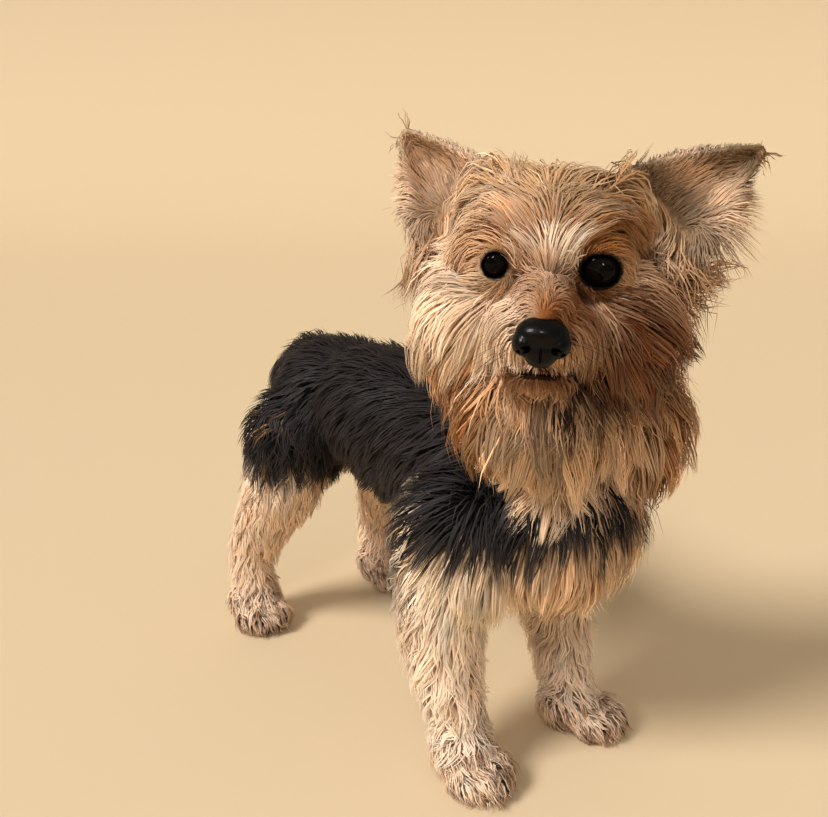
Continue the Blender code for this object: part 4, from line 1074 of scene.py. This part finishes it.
def growCoat(item):
    tree = BVHTree.FromObject(item, bpy.context.evaluated_depsgraph_get())
    roots, normals, uvs = sampleSkin(item)
    count = len(roots)
    region, dog, inHead, turned = regionsOf(roots, normals)
    print("tufts", count, dict(zip(regions, np.bincount(region, minlength=len(regions)).tolist())))
    sizes = sizesOfCoat(region, dog, inHead)
    stray = rng.normal(0.0, 0.05, (count, 3))
    curly = np.isin(region, (onFrontLeg, onHindLeg, onPaw))
    for axis in range(3):
        stray[:, axis] += 0.34 * wobble(dog, 0.013, 50 + axis) * curly
        stray[:, axis] += 0.17 * wobble(dog, 0.020, 20 + axis) + 0.07 * wobble(dog, 0.008, 30 + axis)
    sizes["length"] = sizes["length"] * rng.uniform(0.72, 1.22, count)
    layer = 0.5 + 0.5 * wobble(roots, 0.008, 41)
    rank = np.clip(0.66 * (1.0 - 0.85 * rng.random(count) ** 2.0) + 0.36 * layer, 0.12, 1.02)
    body, tip = tintOfCoat(region, dog, inHead, turned)
    steps = np.array([coatRules[name]["steps"] for name in regions])[region]
    loose = (rng.random(count) < 0.05) & (region != onEar)
    strength = np.where(loose, 0.15, rng.uniform(0.75, 1.15, count))
    sizes["lift"] = sizes["lift"] * rng.uniform(0.6, 1.3, count)
    made = []
    rootShade = np.array([coatRules[name]["shade"] for name in regions])
    for number in (3, 4):
        own = np.flatnonzero(steps == number)
        part = {key: value[own] for key, value in sizes.items()}
        path, ups = growPaths(tree, roots[own], normals[own], region[own], stray[own], part,
                              rank[own], number)
        path, leader = gathered(roots[own], normals[own], path, part, strength[own])
        share = np.arange(number + 1) / number
        sideways = unit(np.cross(path[:, 2] - path[:, 0], normals[own]))
        turns = rng.uniform(0.6, 1.3, len(own))[leader][:, None] * share * 2 * math.pi
        sway = np.sin(turns + rng.uniform(0, 6.28, len(own))[leader][:, None]) * share
        path += sideways[:, None] * (sway * part["wave"][:, None])[..., None]
        away = path - path[:, :1]
        most = (part["length"] * 1.1 + part["depth"])[:, None]
        within = np.minimum(1.0, most / np.maximum(np.linalg.norm(away, axis=2), 1e-6))
        path = path[:, :1] + away * within[..., None]
        path = keepOffFace(calmed(path, part["length"] / number))
        path[..., 2] = np.maximum(path[..., 2], padLift * 2)
        unlike = np.where((region[own] == onNeck) | (part["length"] > 0.034), 0.30, 0.12)
        lockShade = rng.normal(0.0, 1.0, len(own))[leader] * unlike
        shade = np.exp(lockShade + rng.normal(0.0, 0.06, len(own)))[:, None]
        warm = rng.normal(0.0, 0.03, len(own))[:, None] * np.array((1.0, 0.0, -1.0))
        ownBody = body[own] * shade * (1.0 + warm)
        ownTip = tip[own] * shade * (1.0 + warm)
        # Darker roots: the coat's own darker roots together with painted shade down among the tufts
        ownRoot = ownBody * rootShade[region[own]][:, None]
        width = part["width"] * rng.uniform(0.75, 1.25, len(own))
        made.append((own, path, ups, width, ownRoot, ownBody, ownTip))
    return made, region, dog, inHead, uvs


# Material slot of each piece of the coat, and its rule: r region, d place in the dog's frame, q place in
# the head's frame, n distance from the nose
coatPieces = {
    "face": ("tan_coat", lambda r, d, q, n: (r == onHead) & (n < 0.040)),
    "crown": ("tan_coat", lambda r, d, q, n: (r == onHead) & (n >= 0.040) & (q[:, 2] > 0.004)),
    "cheek_right": ("tan_coat", lambda r, d, q, n: (r == onHead) & (n >= 0.040) & (q[:, 2] <= 0.004)
                    & (q[:, 0] < 0)),
    "cheek_left": ("tan_coat", lambda r, d, q, n: (r == onHead) & (n >= 0.040) & (q[:, 2] <= 0.004)
                   & (q[:, 0] >= 0)),
    "ears": ("cream_coat", lambda r, d, q, n: r == onEar),
    "ruff": ("tan_coat", lambda r, d, q, n: r == onNeck),
    "breast": ("cream_coat", lambda r, d, q, n: (r == onTorso) & (d[:, 1] < 0.012)),
    "flank_right": ("steel_coat", lambda r, d, q, n: (r == onTorso) & (d[:, 1] >= 0.012) & (d[:, 0] < 0)),
    "flank_left": ("steel_coat", lambda r, d, q, n: (r == onTorso) & (d[:, 1] >= 0.012) & (d[:, 0] >= 0)),
    "front_legs": ("cream_coat", lambda r, d, q, n: r == onFrontLeg),
    "hind_legs": ("cream_coat", lambda r, d, q, n: r == onHindLeg),
    "paws": ("cream_coat", lambda r, d, q, n: r == onPaw),
    "tail": ("steel_coat", lambda r, d, q, n: r == onTail),
}
mostTufts = 8900                 # in one piece, so that none passes 200,000 triangles


def hairMaterial(name, roughness, specular, sheen):
    material = bpy.data.materials.new(name)
    material.use_nodes = True
    nodes = material.node_tree.nodes
    links = material.node_tree.links
    shader = nodes["Principled BSDF"]
    shader.inputs["Roughness"].default_value = roughness
    shader.inputs["Specular IOR Level"].default_value = specular
    shader.inputs["Sheen Weight"].default_value = sheen
    shader.inputs["Sheen Roughness"].default_value = 0.4
    tint = nodes.new("ShaderNodeAttribute")
    tint.attribute_name = "tint"
    place = nodes.new("ShaderNodeUVMap")
    place.uv_map = "strand"
    scale = nodes.new("ShaderNodeMapping")
    scale.inputs["Scale"].default_value = (5.0, 1.6, 1.0)
    grain = nodes.new("ShaderNodeTexNoise")
    grain.inputs["Scale"].default_value = 1.0
    grain.inputs["Detail"].default_value = 2.0
    spread = nodes.new("ShaderNodeMapRange")
    spread.inputs["From Min"].default_value = 0.3
    spread.inputs["From Max"].default_value = 0.7
    spread.inputs["To Min"].default_value = 0.74
    spread.inputs["To Max"].default_value = 1.20
    mixed = nodes.new("ShaderNodeVectorMath")
    mixed.operation = "SCALE"
    links.new(place.outputs["UV"], scale.inputs["Vector"])
    links.new(scale.outputs["Vector"], grain.inputs["Vector"])
    links.new(grain.outputs["Fac"], spread.inputs["Value"])
    links.new(tint.outputs["Color"], mixed.inputs[0])
    links.new(spread.outputs["Result"], mixed.inputs["Scale"])
    links.new(mixed.outputs["Vector"], shader.inputs["Base Color"])
    return material


hair = {
    "tan_coat": hairMaterial("tanHair", 0.55, 0.15, 0.0),
    "cream_coat": hairMaterial("creamHair", 0.58, 0.18, 0.02),
    "steel_coat": hairMaterial("steelHair", 0.50, 0.13, 0.0),
}


def makeCoat():
    made, region, dog, inHead, uvs = growCoat(skin)
    fromNose = np.linalg.norm(inHead - nose, axis=1)
    total = 0
    for name, (slot, rule) in coatPieces.items():
        wanted = rule(region, dog, inHead, fromNose)
        for own, path, ups, width, root, body, tip in made:
            here = np.flatnonzero(wanted[own])
            if not len(here):
                continue
            here = here[np.argsort(dog[own[here], 1], kind="stable")]
            chunks = math.ceil(len(here) / mostTufts)
            for number, chunk in enumerate(np.array_split(here, chunks)):
                label = f"coat_{name}" if chunks == 1 else f"coat_{name}_{number + 1}"
                piece = tuftMesh(label, path[chunk], ups[chunk], width[chunk],
                                 (root[chunk], body[chunk], tip[chunk]), uvs[own[chunk]])
                dressed(piece, hair[slot], slot)
                total += len(piece.data.polygons)
                print(label, len(piece.data.polygons))
    print("coat triangles", total)


def grainOf(nodes, links, scale, detail, low, high):
    # A noise in the piece's own space, spread between two values
    place = nodes.new("ShaderNodeTexCoord")
    grain = nodes.new("ShaderNodeTexNoise")
    grain.inputs["Scale"].default_value = scale
    grain.inputs["Detail"].default_value = detail
    spread = nodes.new("ShaderNodeMapRange")
    spread.inputs["From Min"].default_value = 0.3
    spread.inputs["From Max"].default_value = 0.7
    spread.inputs["To Min"].default_value = low
    spread.inputs["To Max"].default_value = high
    links.new(place.outputs["Object"], grain.inputs["Vector"])
    links.new(grain.outputs["Fac"], spread.inputs["Value"])
    return spread.outputs["Result"], grain.outputs["Fac"]


def bumpInto(nodes, links, shader, height, strength, distance):
    bump = nodes.new("ShaderNodeBump")
    bump.inputs["Strength"].default_value = strength
    bump.inputs["Distance"].default_value = distance
    links.new(height, bump.inputs["Height"])
    links.new(bump.outputs["Normal"], shader.inputs["Normal"])


def skinMaterial():
    # The same markings as the coat's, darker as painted shade under the coat, with a fine short nap
    material = bpy.data.materials.new("underCoat")
    material.use_nodes = True
    nodes = material.node_tree.nodes
    links = material.node_tree.links
    shader = nodes["Principled BSDF"]
    shader.inputs["Roughness"].default_value = 0.75
    shader.inputs["Specular IOR Level"].default_value = 0.06
    tint = nodes.new("ShaderNodeAttribute")
    tint.attribute_name = "tint"
    spread, grain = grainOf(nodes, links, 900.0, 3.0, 0.65, 1.25)
    mixed = nodes.new("ShaderNodeVectorMath")
    mixed.operation = "SCALE"
    links.new(tint.outputs["Color"], mixed.inputs[0])
    links.new(spread, mixed.inputs["Scale"])
    links.new(mixed.outputs["Vector"], shader.inputs["Base Color"])
    bumpInto(nodes, links, shader, grain, 0.5, 0.0006)
    return material


def leatherMaterial(name, colour, roughness, scale, depth):
    # Pebbled leather of the nose, or the horn of the claws
    material = bpy.data.materials.new(name)
    material.use_nodes = True
    nodes = material.node_tree.nodes
    links = material.node_tree.links
    shader = nodes["Principled BSDF"]
    shader.inputs["Roughness"].default_value = roughness
    shader.inputs["Specular IOR Level"].default_value = 0.08
    shader.inputs["Coat Weight"].default_value = 0.12
    shader.inputs["Coat Roughness"].default_value = 0.12
    place = nodes.new("ShaderNodeTexCoord")
    pebbles = nodes.new("ShaderNodeTexVoronoi")
    pebbles.feature = "SMOOTH_F1"
    pebbles.inputs["Scale"].default_value = scale
    links.new(place.outputs["Object"], pebbles.inputs["Vector"])
    spread, grain = grainOf(nodes, links, scale * 0.3, 3.0, 0.0, 1.0)
    shades = nodes.new("ShaderNodeMix")
    shades.data_type = "RGBA"
    shades.inputs["A"].default_value = (*linear(colour[0]), 1.0)
    shades.inputs["B"].default_value = (*linear(colour[1]), 1.0)
    links.new(spread, shades.inputs["Factor"])
    links.new(shades.outputs["Result"], shader.inputs["Base Color"])
    bumpInto(nodes, links, shader, pebbles.outputs["Distance"], 0.6, depth)
    return material


def dressSkin():
    mesh = skin.data
    points = readOut(mesh.vertices, "co", 3)
    normals = readOut(mesh.vertex_normals, "vector", 3)
    region, dog, inHead, turned = regionsOf(points, normals)
    body, tip = tintOfCoat(region, dog, inHead, turned)
    # The skin under the coat is darkened as painted shade in the gaps between tufts
    colour = body * np.array([coatRules[name]["shade"] for name in regions])[region][:, None] * 0.9
    lidRim = smoothStep(1.20, 1.06, np.linalg.norm(eyeSide(inHead), axis=1))
    colour = blend(colour, linear((9, 6, 5)), lidRim * (inHead[:, 1] < pose["eyeAt"][1]))
    lip = smoothStep(0.0034, 0.0022, np.abs(aboveLips(inHead))) * (inHead[:, 1] < -0.008)
    colour = blend(colour, linear((34, 18, 12)), lip * (region == onHead))
    pads = (region == onPaw) & (turned[:, 2] < -0.6)
    colour[pads] = linear((38, 30, 28))
    paintPoints(mesh, colour)
    dressed(skin, skinMaterial(), "tan_coat", *[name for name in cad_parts
                                               if not name.startswith(("eye", "nose"))])


dressSkin()
makeCoat()

# Eyes: a dark brown iris under a clear bulging cornea
eyeShape = {"radius": pose["eyeRadius"], "cornea": 0.0056, "bulge": 0.0011, "aim": 15.0}


def eyeMaterial():
    material = bpy.data.materials.new("eyeDark")
    material.use_nodes = True
    nodes = material.node_tree.nodes
    links = material.node_tree.links
    shader = nodes["Principled BSDF"]
    shader.inputs["Roughness"].default_value = 0.10
    shader.inputs["Specular IOR Level"].default_value = 0.04
    shader.inputs["Coat Weight"].default_value = 0.14
    shader.inputs["Coat IOR"].default_value = 1.36
    shader.inputs["Coat Roughness"].default_value = 0.03
    ring = nodes.new("ShaderNodeAttribute")
    ring.attribute_name = "ring"
    bands = nodes.new("ShaderNodeValToRGB")
    bands.color_ramp.elements[0].color = (*linear((5, 4, 4)), 1.0)
    bands.color_ramp.elements[0].position = 0.34
    bands.color_ramp.elements[1].color = (*linear((8, 5, 4)), 1.0)
    bands.color_ramp.elements[1].position = 0.72
    for position, colour in ((0.40, (18, 10, 7)), (0.56, (13, 8, 6)), (0.64, (7, 5, 5))):
        bands.color_ramp.elements.new(position).color = (*linear(colour), 1.0)
    links.new(ring.outputs["Fac"], bands.inputs["Fac"])
    spread, grain = grainOf(nodes, links, 1400.0, 2.0, 0.7, 1.3)
    mixed = nodes.new("ShaderNodeVectorMath")
    mixed.operation = "SCALE"
    links.new(bands.outputs["Color"], mixed.inputs[0])
    links.new(spread, mixed.inputs["Scale"])
    links.new(mixed.outputs["Vector"], shader.inputs["Base Color"])
    return material


def makeEyes():
    material = eyeMaterial()
    for side, name in ((-1, "right"), (1, "left")):
        centre = Vector((side * pose["eyeAt"][0], *pose["eyeAt"][1:]))
        aim = Matrix.Rotation(math.radians(side * eyeShape["aim"]), 3, "Z") @ Vector((0.0, -1.0, 0.0))
        form = bmesh.new()
        bmesh.ops.create_uvsphere(form, u_segments=64, v_segments=48, radius=eyeShape["radius"])
        toAim = aim.to_track_quat("Z", "Y").to_matrix()
        ring = form.verts.layers.float.new("ring")
        for vertex in form.verts:
            off = math.hypot(vertex.co.x, vertex.co.y) if vertex.co.z > 0 else eyeShape["radius"]
            vertex[ring] = off / eyeShape["radius"]
            if off < eyeShape["cornea"]:
                share = off / eyeShape["cornea"]
                vertex.co.z += eyeShape["bulge"] * (1.0 - share * share) ** 1.5
            vertex.co = headFrame @ (centre + toAim @ vertex.co)
        eye = fromForm(f"eyeball_{name}", form)
        eye.data.shade_smooth()
        dressed(eye, material, "eye_gloss", f"eye_{name}")


makeEyes()
print("eyes")

# Nose: broad pad, wings over comma-shaped nostrils, groove down the middle
noseShape = {"voxel": 0.00045, "smoothing": 4}


def makeNose():
    form = bmesh.new()
    x, y, z = pose["noseAt"]
    scale = pose["noseWidth"] / 0.0215
    place = headFrame @ Matrix.Translation((x, y, z)) @ Matrix.Scale(scale, 4)
    ballInto(form, (0.0, 0.0010, 0.0018), (0.0098, 0.0075, 0.0062), place, 40, 28)
    ballInto(form, (0.0, -0.0010, -0.0042), (0.0064, 0.0060, 0.0062), place, 40, 28)
    for side in (-1, 1):
        ballInto(form, (side * 0.0062, -0.0002, -0.0014), (0.0046, 0.0062, 0.0050), place, 32, 24)
    piece = fromForm("nosePad", form)
    blendForms(piece, noseShape["voxel"], noseShape["smoothing"])
    for side in (-1, 1):
        nostril = bmesh.new()
        turned = place @ Matrix.Translation((side * 0.0056, -0.0062, -0.0022))
        turned = turned @ Matrix.Rotation(math.radians(side * 28), 4, "Y")
        ballInto(nostril, (0.0, 0.0, 0.0), (0.0021, 0.0040, 0.0016), turned, 32, 24)
        ballInto(nostril, (side * 0.0022, 0.0006, 0.0), (0.0018, 0.0030, 0.0008), turned, 32, 24)
        boolean(piece, nostril, "DIFFERENCE")
    groove = bmesh.new()
    ballInto(groove, (0.0, -0.0074, -0.0040), (0.0005, 0.0016, 0.0056), place, 24, 24)
    boolean(piece, groove, "DIFFERENCE")
    piece.data.shade_smooth()
    dressed(piece, leatherMaterial("noseLeather", ((4, 3, 3), (11, 8, 8)), 0.34, 1500.0, 0.00012),
            "nose_leather", "nose")


makeNose()
print("nose")

# Claws, whiskers and lashes: one tree sets a tapered, bent bristle on each point
bristles = {
    "claws": {"sides": 12, "bend": 0.45, "thickness": 0.17, "slot": "nose_leather"},
    "whiskers": {"sides": 5, "bend": 0.25, "thickness": 0.004, "slot": "steel_coat"},
    "lashes": {"sides": 4, "bend": 0.35, "thickness": 0.020, "slot": "steel_coat"},
}


def bristleTree():
    tree = bpy.data.node_groups.new("bristleTree", "GeometryNodeTree")
    face = tree.interface
    face.new_socket("Geometry", in_out="INPUT", socket_type="NodeSocketGeometry")
    sides = face.new_socket("Sides", in_out="INPUT", socket_type="NodeSocketInt")
    bend = face.new_socket("Bend", in_out="INPUT", socket_type="NodeSocketFloat")
    thick = face.new_socket("Thickness", in_out="INPUT", socket_type="NodeSocketFloat")
    finish = face.new_socket("Finish", in_out="INPUT", socket_type="NodeSocketMaterial")
    face.new_socket("Geometry", in_out="OUTPUT", socket_type="NodeSocketGeometry")
    nodes = tree.nodes
    links = tree.links
    start = nodes.new("NodeGroupInput")
    end = nodes.new("NodeGroupOutput")
    line = nodes.new("GeometryNodeCurvePrimitiveBezierSegment")
    line.inputs["Resolution"].default_value = 8
    line.inputs["Start"].default_value = (0.0, 0.0, 0.0)
    line.inputs["Start Handle"].default_value = (0.0, 0.0, 0.4)
    tipPlace = nodes.new("ShaderNodeCombineXYZ")
    tipPlace.inputs["Z"].default_value = 1.0
    handle = nodes.new("ShaderNodeCombineXYZ")
    handle.inputs["Z"].default_value = 0.75
    half = nodes.new("ShaderNodeMath")
    half.operation = "MULTIPLY"
    half.inputs[1].default_value = 0.35
    links.new(start.outputs["Bend"], tipPlace.inputs["X"])
    links.new(start.outputs["Bend"], half.inputs[0])
    links.new(half.outputs["Value"], handle.inputs["X"])
    links.new(handle.outputs["Vector"], line.inputs["End Handle"])
    links.new(tipPlace.outputs["Vector"], line.inputs["End"])
    along = nodes.new("GeometryNodeSplineParameter")
    taper = nodes.new("ShaderNodeFloatCurve")
    points = taper.mapping.curves[0].points
    points[0].location = (0.0, 1.0)
    points[1].location = (1.0, 0.04)
    points.new(0.55, 0.72)
    taper.mapping.update()
    links.new(along.outputs["Factor"], taper.inputs["Value"])
    ring = nodes.new("GeometryNodeCurvePrimitiveCircle")
    links.new(start.outputs["Thickness"], ring.inputs["Radius"])
    links.new(start.outputs["Sides"], ring.inputs["Resolution"])
    skinOut = nodes.new("GeometryNodeCurveToMesh")
    skinOut.inputs["Fill Caps"].default_value = True
    links.new(line.outputs["Curve"], skinOut.inputs["Curve"])
    links.new(ring.outputs["Curve"], skinOut.inputs["Profile Curve"])
    links.new(taper.outputs["Value"], skinOut.inputs["Scale"])
    lay = nodes.new("GeometryNodeInstanceOnPoints")
    turn = nodes.new("FunctionNodeAlignRotationToVector")
    turn.axis = "Z"
    roll = nodes.new("FunctionNodeAlignRotationToVector")
    roll.axis = "X"
    roll.pivot_axis = "Z"
    way = nodes.new("GeometryNodeInputNamedAttribute")
    way.data_type = "FLOAT_VECTOR"
    way.inputs["Name"].default_value = "way"
    droop = nodes.new("GeometryNodeInputNamedAttribute")
    droop.data_type = "FLOAT_VECTOR"
    droop.inputs["Name"].default_value = "droop"
    size = nodes.new("GeometryNodeInputNamedAttribute")
    size.data_type = "FLOAT"
    size.inputs["Name"].default_value = "size"
    links.new(way.outputs["Attribute"], turn.inputs["Vector"])
    links.new(turn.outputs["Rotation"], roll.inputs["Rotation"])
    links.new(droop.outputs["Attribute"], roll.inputs["Vector"])
    links.new(start.outputs["Geometry"], lay.inputs["Points"])
    links.new(skinOut.outputs["Mesh"], lay.inputs["Instance"])
    links.new(roll.outputs["Rotation"], lay.inputs["Rotation"])
    links.new(size.outputs["Attribute"], lay.inputs["Scale"])
    real = nodes.new("GeometryNodeRealizeInstances")
    paint = nodes.new("GeometryNodeSetMaterial")
    links.new(lay.outputs["Instances"], real.inputs["Geometry"])
    links.new(real.outputs["Geometry"], paint.inputs["Geometry"])
    links.new(start.outputs["Finish"], paint.inputs["Material"])
    links.new(paint.outputs["Geometry"], end.inputs["Geometry"])
    return tree, {"Sides": sides.identifier, "Bend": bend.identifier, "Thickness": thick.identifier,
                  "Finish": finish.identifier}


bristleNodes, bristleSockets = bristleTree()


def makeBristles(name, rows, material):
    # Each row: place, direction, direction of the droop and length, in the part's frame
    rule = bristles[name]
    mesh = bpy.data.meshes.new(name)
    mesh.from_pydata([row[0] for row in rows], [], [])
    for label, index in (("way", 1), ("droop", 2)):
        layer = mesh.attributes.new(label, "FLOAT_VECTOR", "POINT")
        layer.data.foreach_set("vector", np.array([tuple(row[index]) for row in rows], np.float32).ravel())
    layer = mesh.attributes.new("size", "FLOAT", "POINT")
    layer.data.foreach_set("value", np.array([row[3] for row in rows], np.float32))
    item = newObject(name, mesh)
    nodes = item.modifiers.new("bristles", "NODES")
    nodes.node_group = bristleNodes
    nodes[bristleSockets["Sides"]] = rule["sides"]
    nodes[bristleSockets["Bend"]] = rule["bend"]
    nodes[bristleSockets["Thickness"]] = rule["thickness"]
    nodes[bristleSockets["Finish"]] = material
    applyModifiers(item)
    item.data.shade_smooth()
    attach(item, "root")
    print(name, len(item.data.polygons))


def clawRows():
    rows = []
    for name, (x, y, turned) in paws.items():
        place = dogFrame @ Matrix.Translation((x, y, 0.0)) @ Matrix.Rotation(math.radians(turned), 4, "Z")
        for across, ahead in toes:
            fan = across * 18.0
            way = place.to_3x3() @ Vector((fan, -0.90, -0.28)).normalized()
            droop = place.to_3x3() @ Vector((0.0, -0.3, -1.0)).normalized()
            root = place @ Vector((across * 0.95, ahead - 0.0072, 0.0092))
            rows.append((root, way, droop, 0.0078))
    return rows


def whiskerRows():
    tree = BVHTree.FromObject(skin, bpy.context.evaluated_depsgraph_get())
    draw = np.random.default_rng(29)
    rows = []
    for side in (-1, 1):
        for row in range(3):
            for k in range(3):
                start = Vector((side * (0.008 + 0.0020 * row), -0.028 + 0.0050 * k, -0.020 - 0.0036 * row))
                place = tree.find_nearest(headFrame @ start)[0]
                way = headFrame.to_3x3() @ Vector((side * (0.9 + draw.normal() * 0.1), -0.35 + 0.10 * k,
                                                   -0.20 - 0.14 * row + draw.normal() * 0.06)).normalized()
                rows.append((place, way, down, 0.020 + 0.010 * draw.random()))
    return rows


def lashRows():
    draw = np.random.default_rng(31)
    rows = []
    radius = pose["eyeRadius"] + lids["thickness"]
    for side in (-1, 1):
        centre = Vector((side * pose["eyeAt"][0], *pose["eyeAt"][1:]))
        for k in range(26):
            angle = math.radians(20 + 140 * k / 25)
            rim = Vector((math.cos(angle) * lids["halfWidth"][side] * 1.04, 0.0,
                          math.sin(angle) * lids["halfHeight"][side] * 1.06))
            rim.y = -math.sqrt(max(radius ** 2 - rim.x ** 2 - rim.z ** 2, 0.0)) + 0.0004
            way = Vector((math.cos(angle) * 0.7, -0.55, math.sin(angle) * 0.8 + 0.1)).normalized()
            length = 0.0035 + 0.0015 * draw.random()
            rows.append((headFrame @ (centre + rim), headFrame.to_3x3() @ way,
                         headFrame.to_3x3() @ Vector((0.0, 0.0, 1.0)), length))
    return rows


horn = leatherMaterial("clawHorn", ((20, 16, 15), (52, 42, 36)), 0.35, 700.0, 0.00008)
bristleHair = leatherMaterial("whiskerHair", ((24, 18, 15), (60, 46, 36)), 0.40, 900.0, 0.00002)
makeBristles("claws", clawRows(), horn)
makeBristles("whiskers", whiskerRows(), bristleHair)
makeBristles("lashes", lashRows(), bristleHair)


# Floor, lights and camera
studio = {
    "floor": (222, 200, 166),
    "camera": (-0.299, -0.314, 0.315),
    "lens": 41.43,
}


def floorMaterial():
    material = bpy.data.materials.new("paleFloor")
    material.use_nodes = True
    nodes = material.node_tree.nodes
    shader = nodes["Principled BSDF"]
    shader.inputs["Roughness"].default_value = 0.85
    shader.inputs["Base Color"].default_value = (*linear(studio["floor"]), 1.0)
    return material


def makeStudio():
    # A floor that curves up into a backdrop behind the dog, seen from the camera
    away = Vector((0.5596, 0.7789, 0.0)).normalized()
    side = Vector((away.y, -away.x, 0.0))
    line = [(-4.0, 0.0), (2.2, 0.0)]
    for k in range(1, 17):
        angle = math.radians(90.0 * k / 16)
        line.append((2.2 + 1.6 * math.sin(angle), 1.6 - 1.6 * math.cos(angle)))
    line.append((3.8, 5.0))
    form = bmesh.new()
    rows = [[form.verts.new(away * u + side * w + Vector((0.0, 0.0, z))) for w in (-6.0, 6.0)]
            for u, z in line]
    for low, high in zip(rows, rows[1:]):
        form.faces.new((low[0], low[1], high[1], high[0]))
    bmesh.ops.recalc_face_normals(form, faces=form.faces)
    if form.faces[0].normal.z < 0:
        bmesh.ops.reverse_faces(form, faces=form.faces)
    floor = fromForm("floor", form)
    floor.data.shade_smooth()
    floor.data.materials.append(floorMaterial())
    world = bpy.data.worlds.new("studio")
    world.use_nodes = True
    background = world.node_tree.nodes["Background"]
    background.inputs["Color"].default_value = (*linear((250, 240, 226)), 1.0)
    background.inputs["Strength"].default_value = 0.36
    bpy.context.scene.world = world
    middle = dogFrame @ Vector((0.0, 0.07, 0.15))
    for name, place, power, angle, colour in (
        ("sunKey", (-1.35, 0.12, 1.20), 3.1, 20.0, (1.0, 0.965, 0.91)),
        ("sunRim", (0.4, 1.2, 0.9), 0.7, 30.0, (1.0, 0.97, 0.93)),
    ):
        lamp = bpy.data.lights.new(name, "SUN")
        lamp.energy = power
        lamp.angle = math.radians(angle)
        lamp.color = colour
        item = bpy.data.objects.new(name, lamp)
        item.rotation_euler = (-Vector(place)).to_track_quat("-Z", "Y").to_euler()
        bpy.context.scene.collection.objects.link(item)
    for name, place, power, size, colour in (
        ("softbox", (-0.75, -0.85, 0.95), 3.5, 0.17, (1.0, 0.98, 0.95)),
    ):
        lamp = bpy.data.lights.new(name, "AREA")
        lamp.energy = power
        lamp.size = size
        lamp.color = colour
        item = bpy.data.objects.new(name, lamp)
        item.location = middle + Vector(place)
        item.rotation_euler = (-Vector(place)).to_track_quat("-Z", "Y").to_euler()
        bpy.context.scene.collection.objects.link(item)
    lens = bpy.data.cameras.new("camera")
    lens.lens = studio["lens"]
    lens.sensor_width = 36.0
    camera = bpy.data.objects.new("camera", lens)
    right = Vector((0.8118, -0.5839, -0.0019))
    above = Vector((0.1668, 0.2287, 0.9591))
    behind = -Vector((0.5596, 0.7789, -0.2831))
    turned = Matrix((right, above, behind)).transposed().to_4x4()
    camera.matrix_world = Matrix.Translation(dogFrame @ Vector(studio["camera"])) @ turned
    bpy.context.scene.collection.objects.link(camera)
    bpy.context.scene.camera = camera
    bpy.context.scene.view_settings.view_transform = "Standard"


makeStudio()
print("studio")
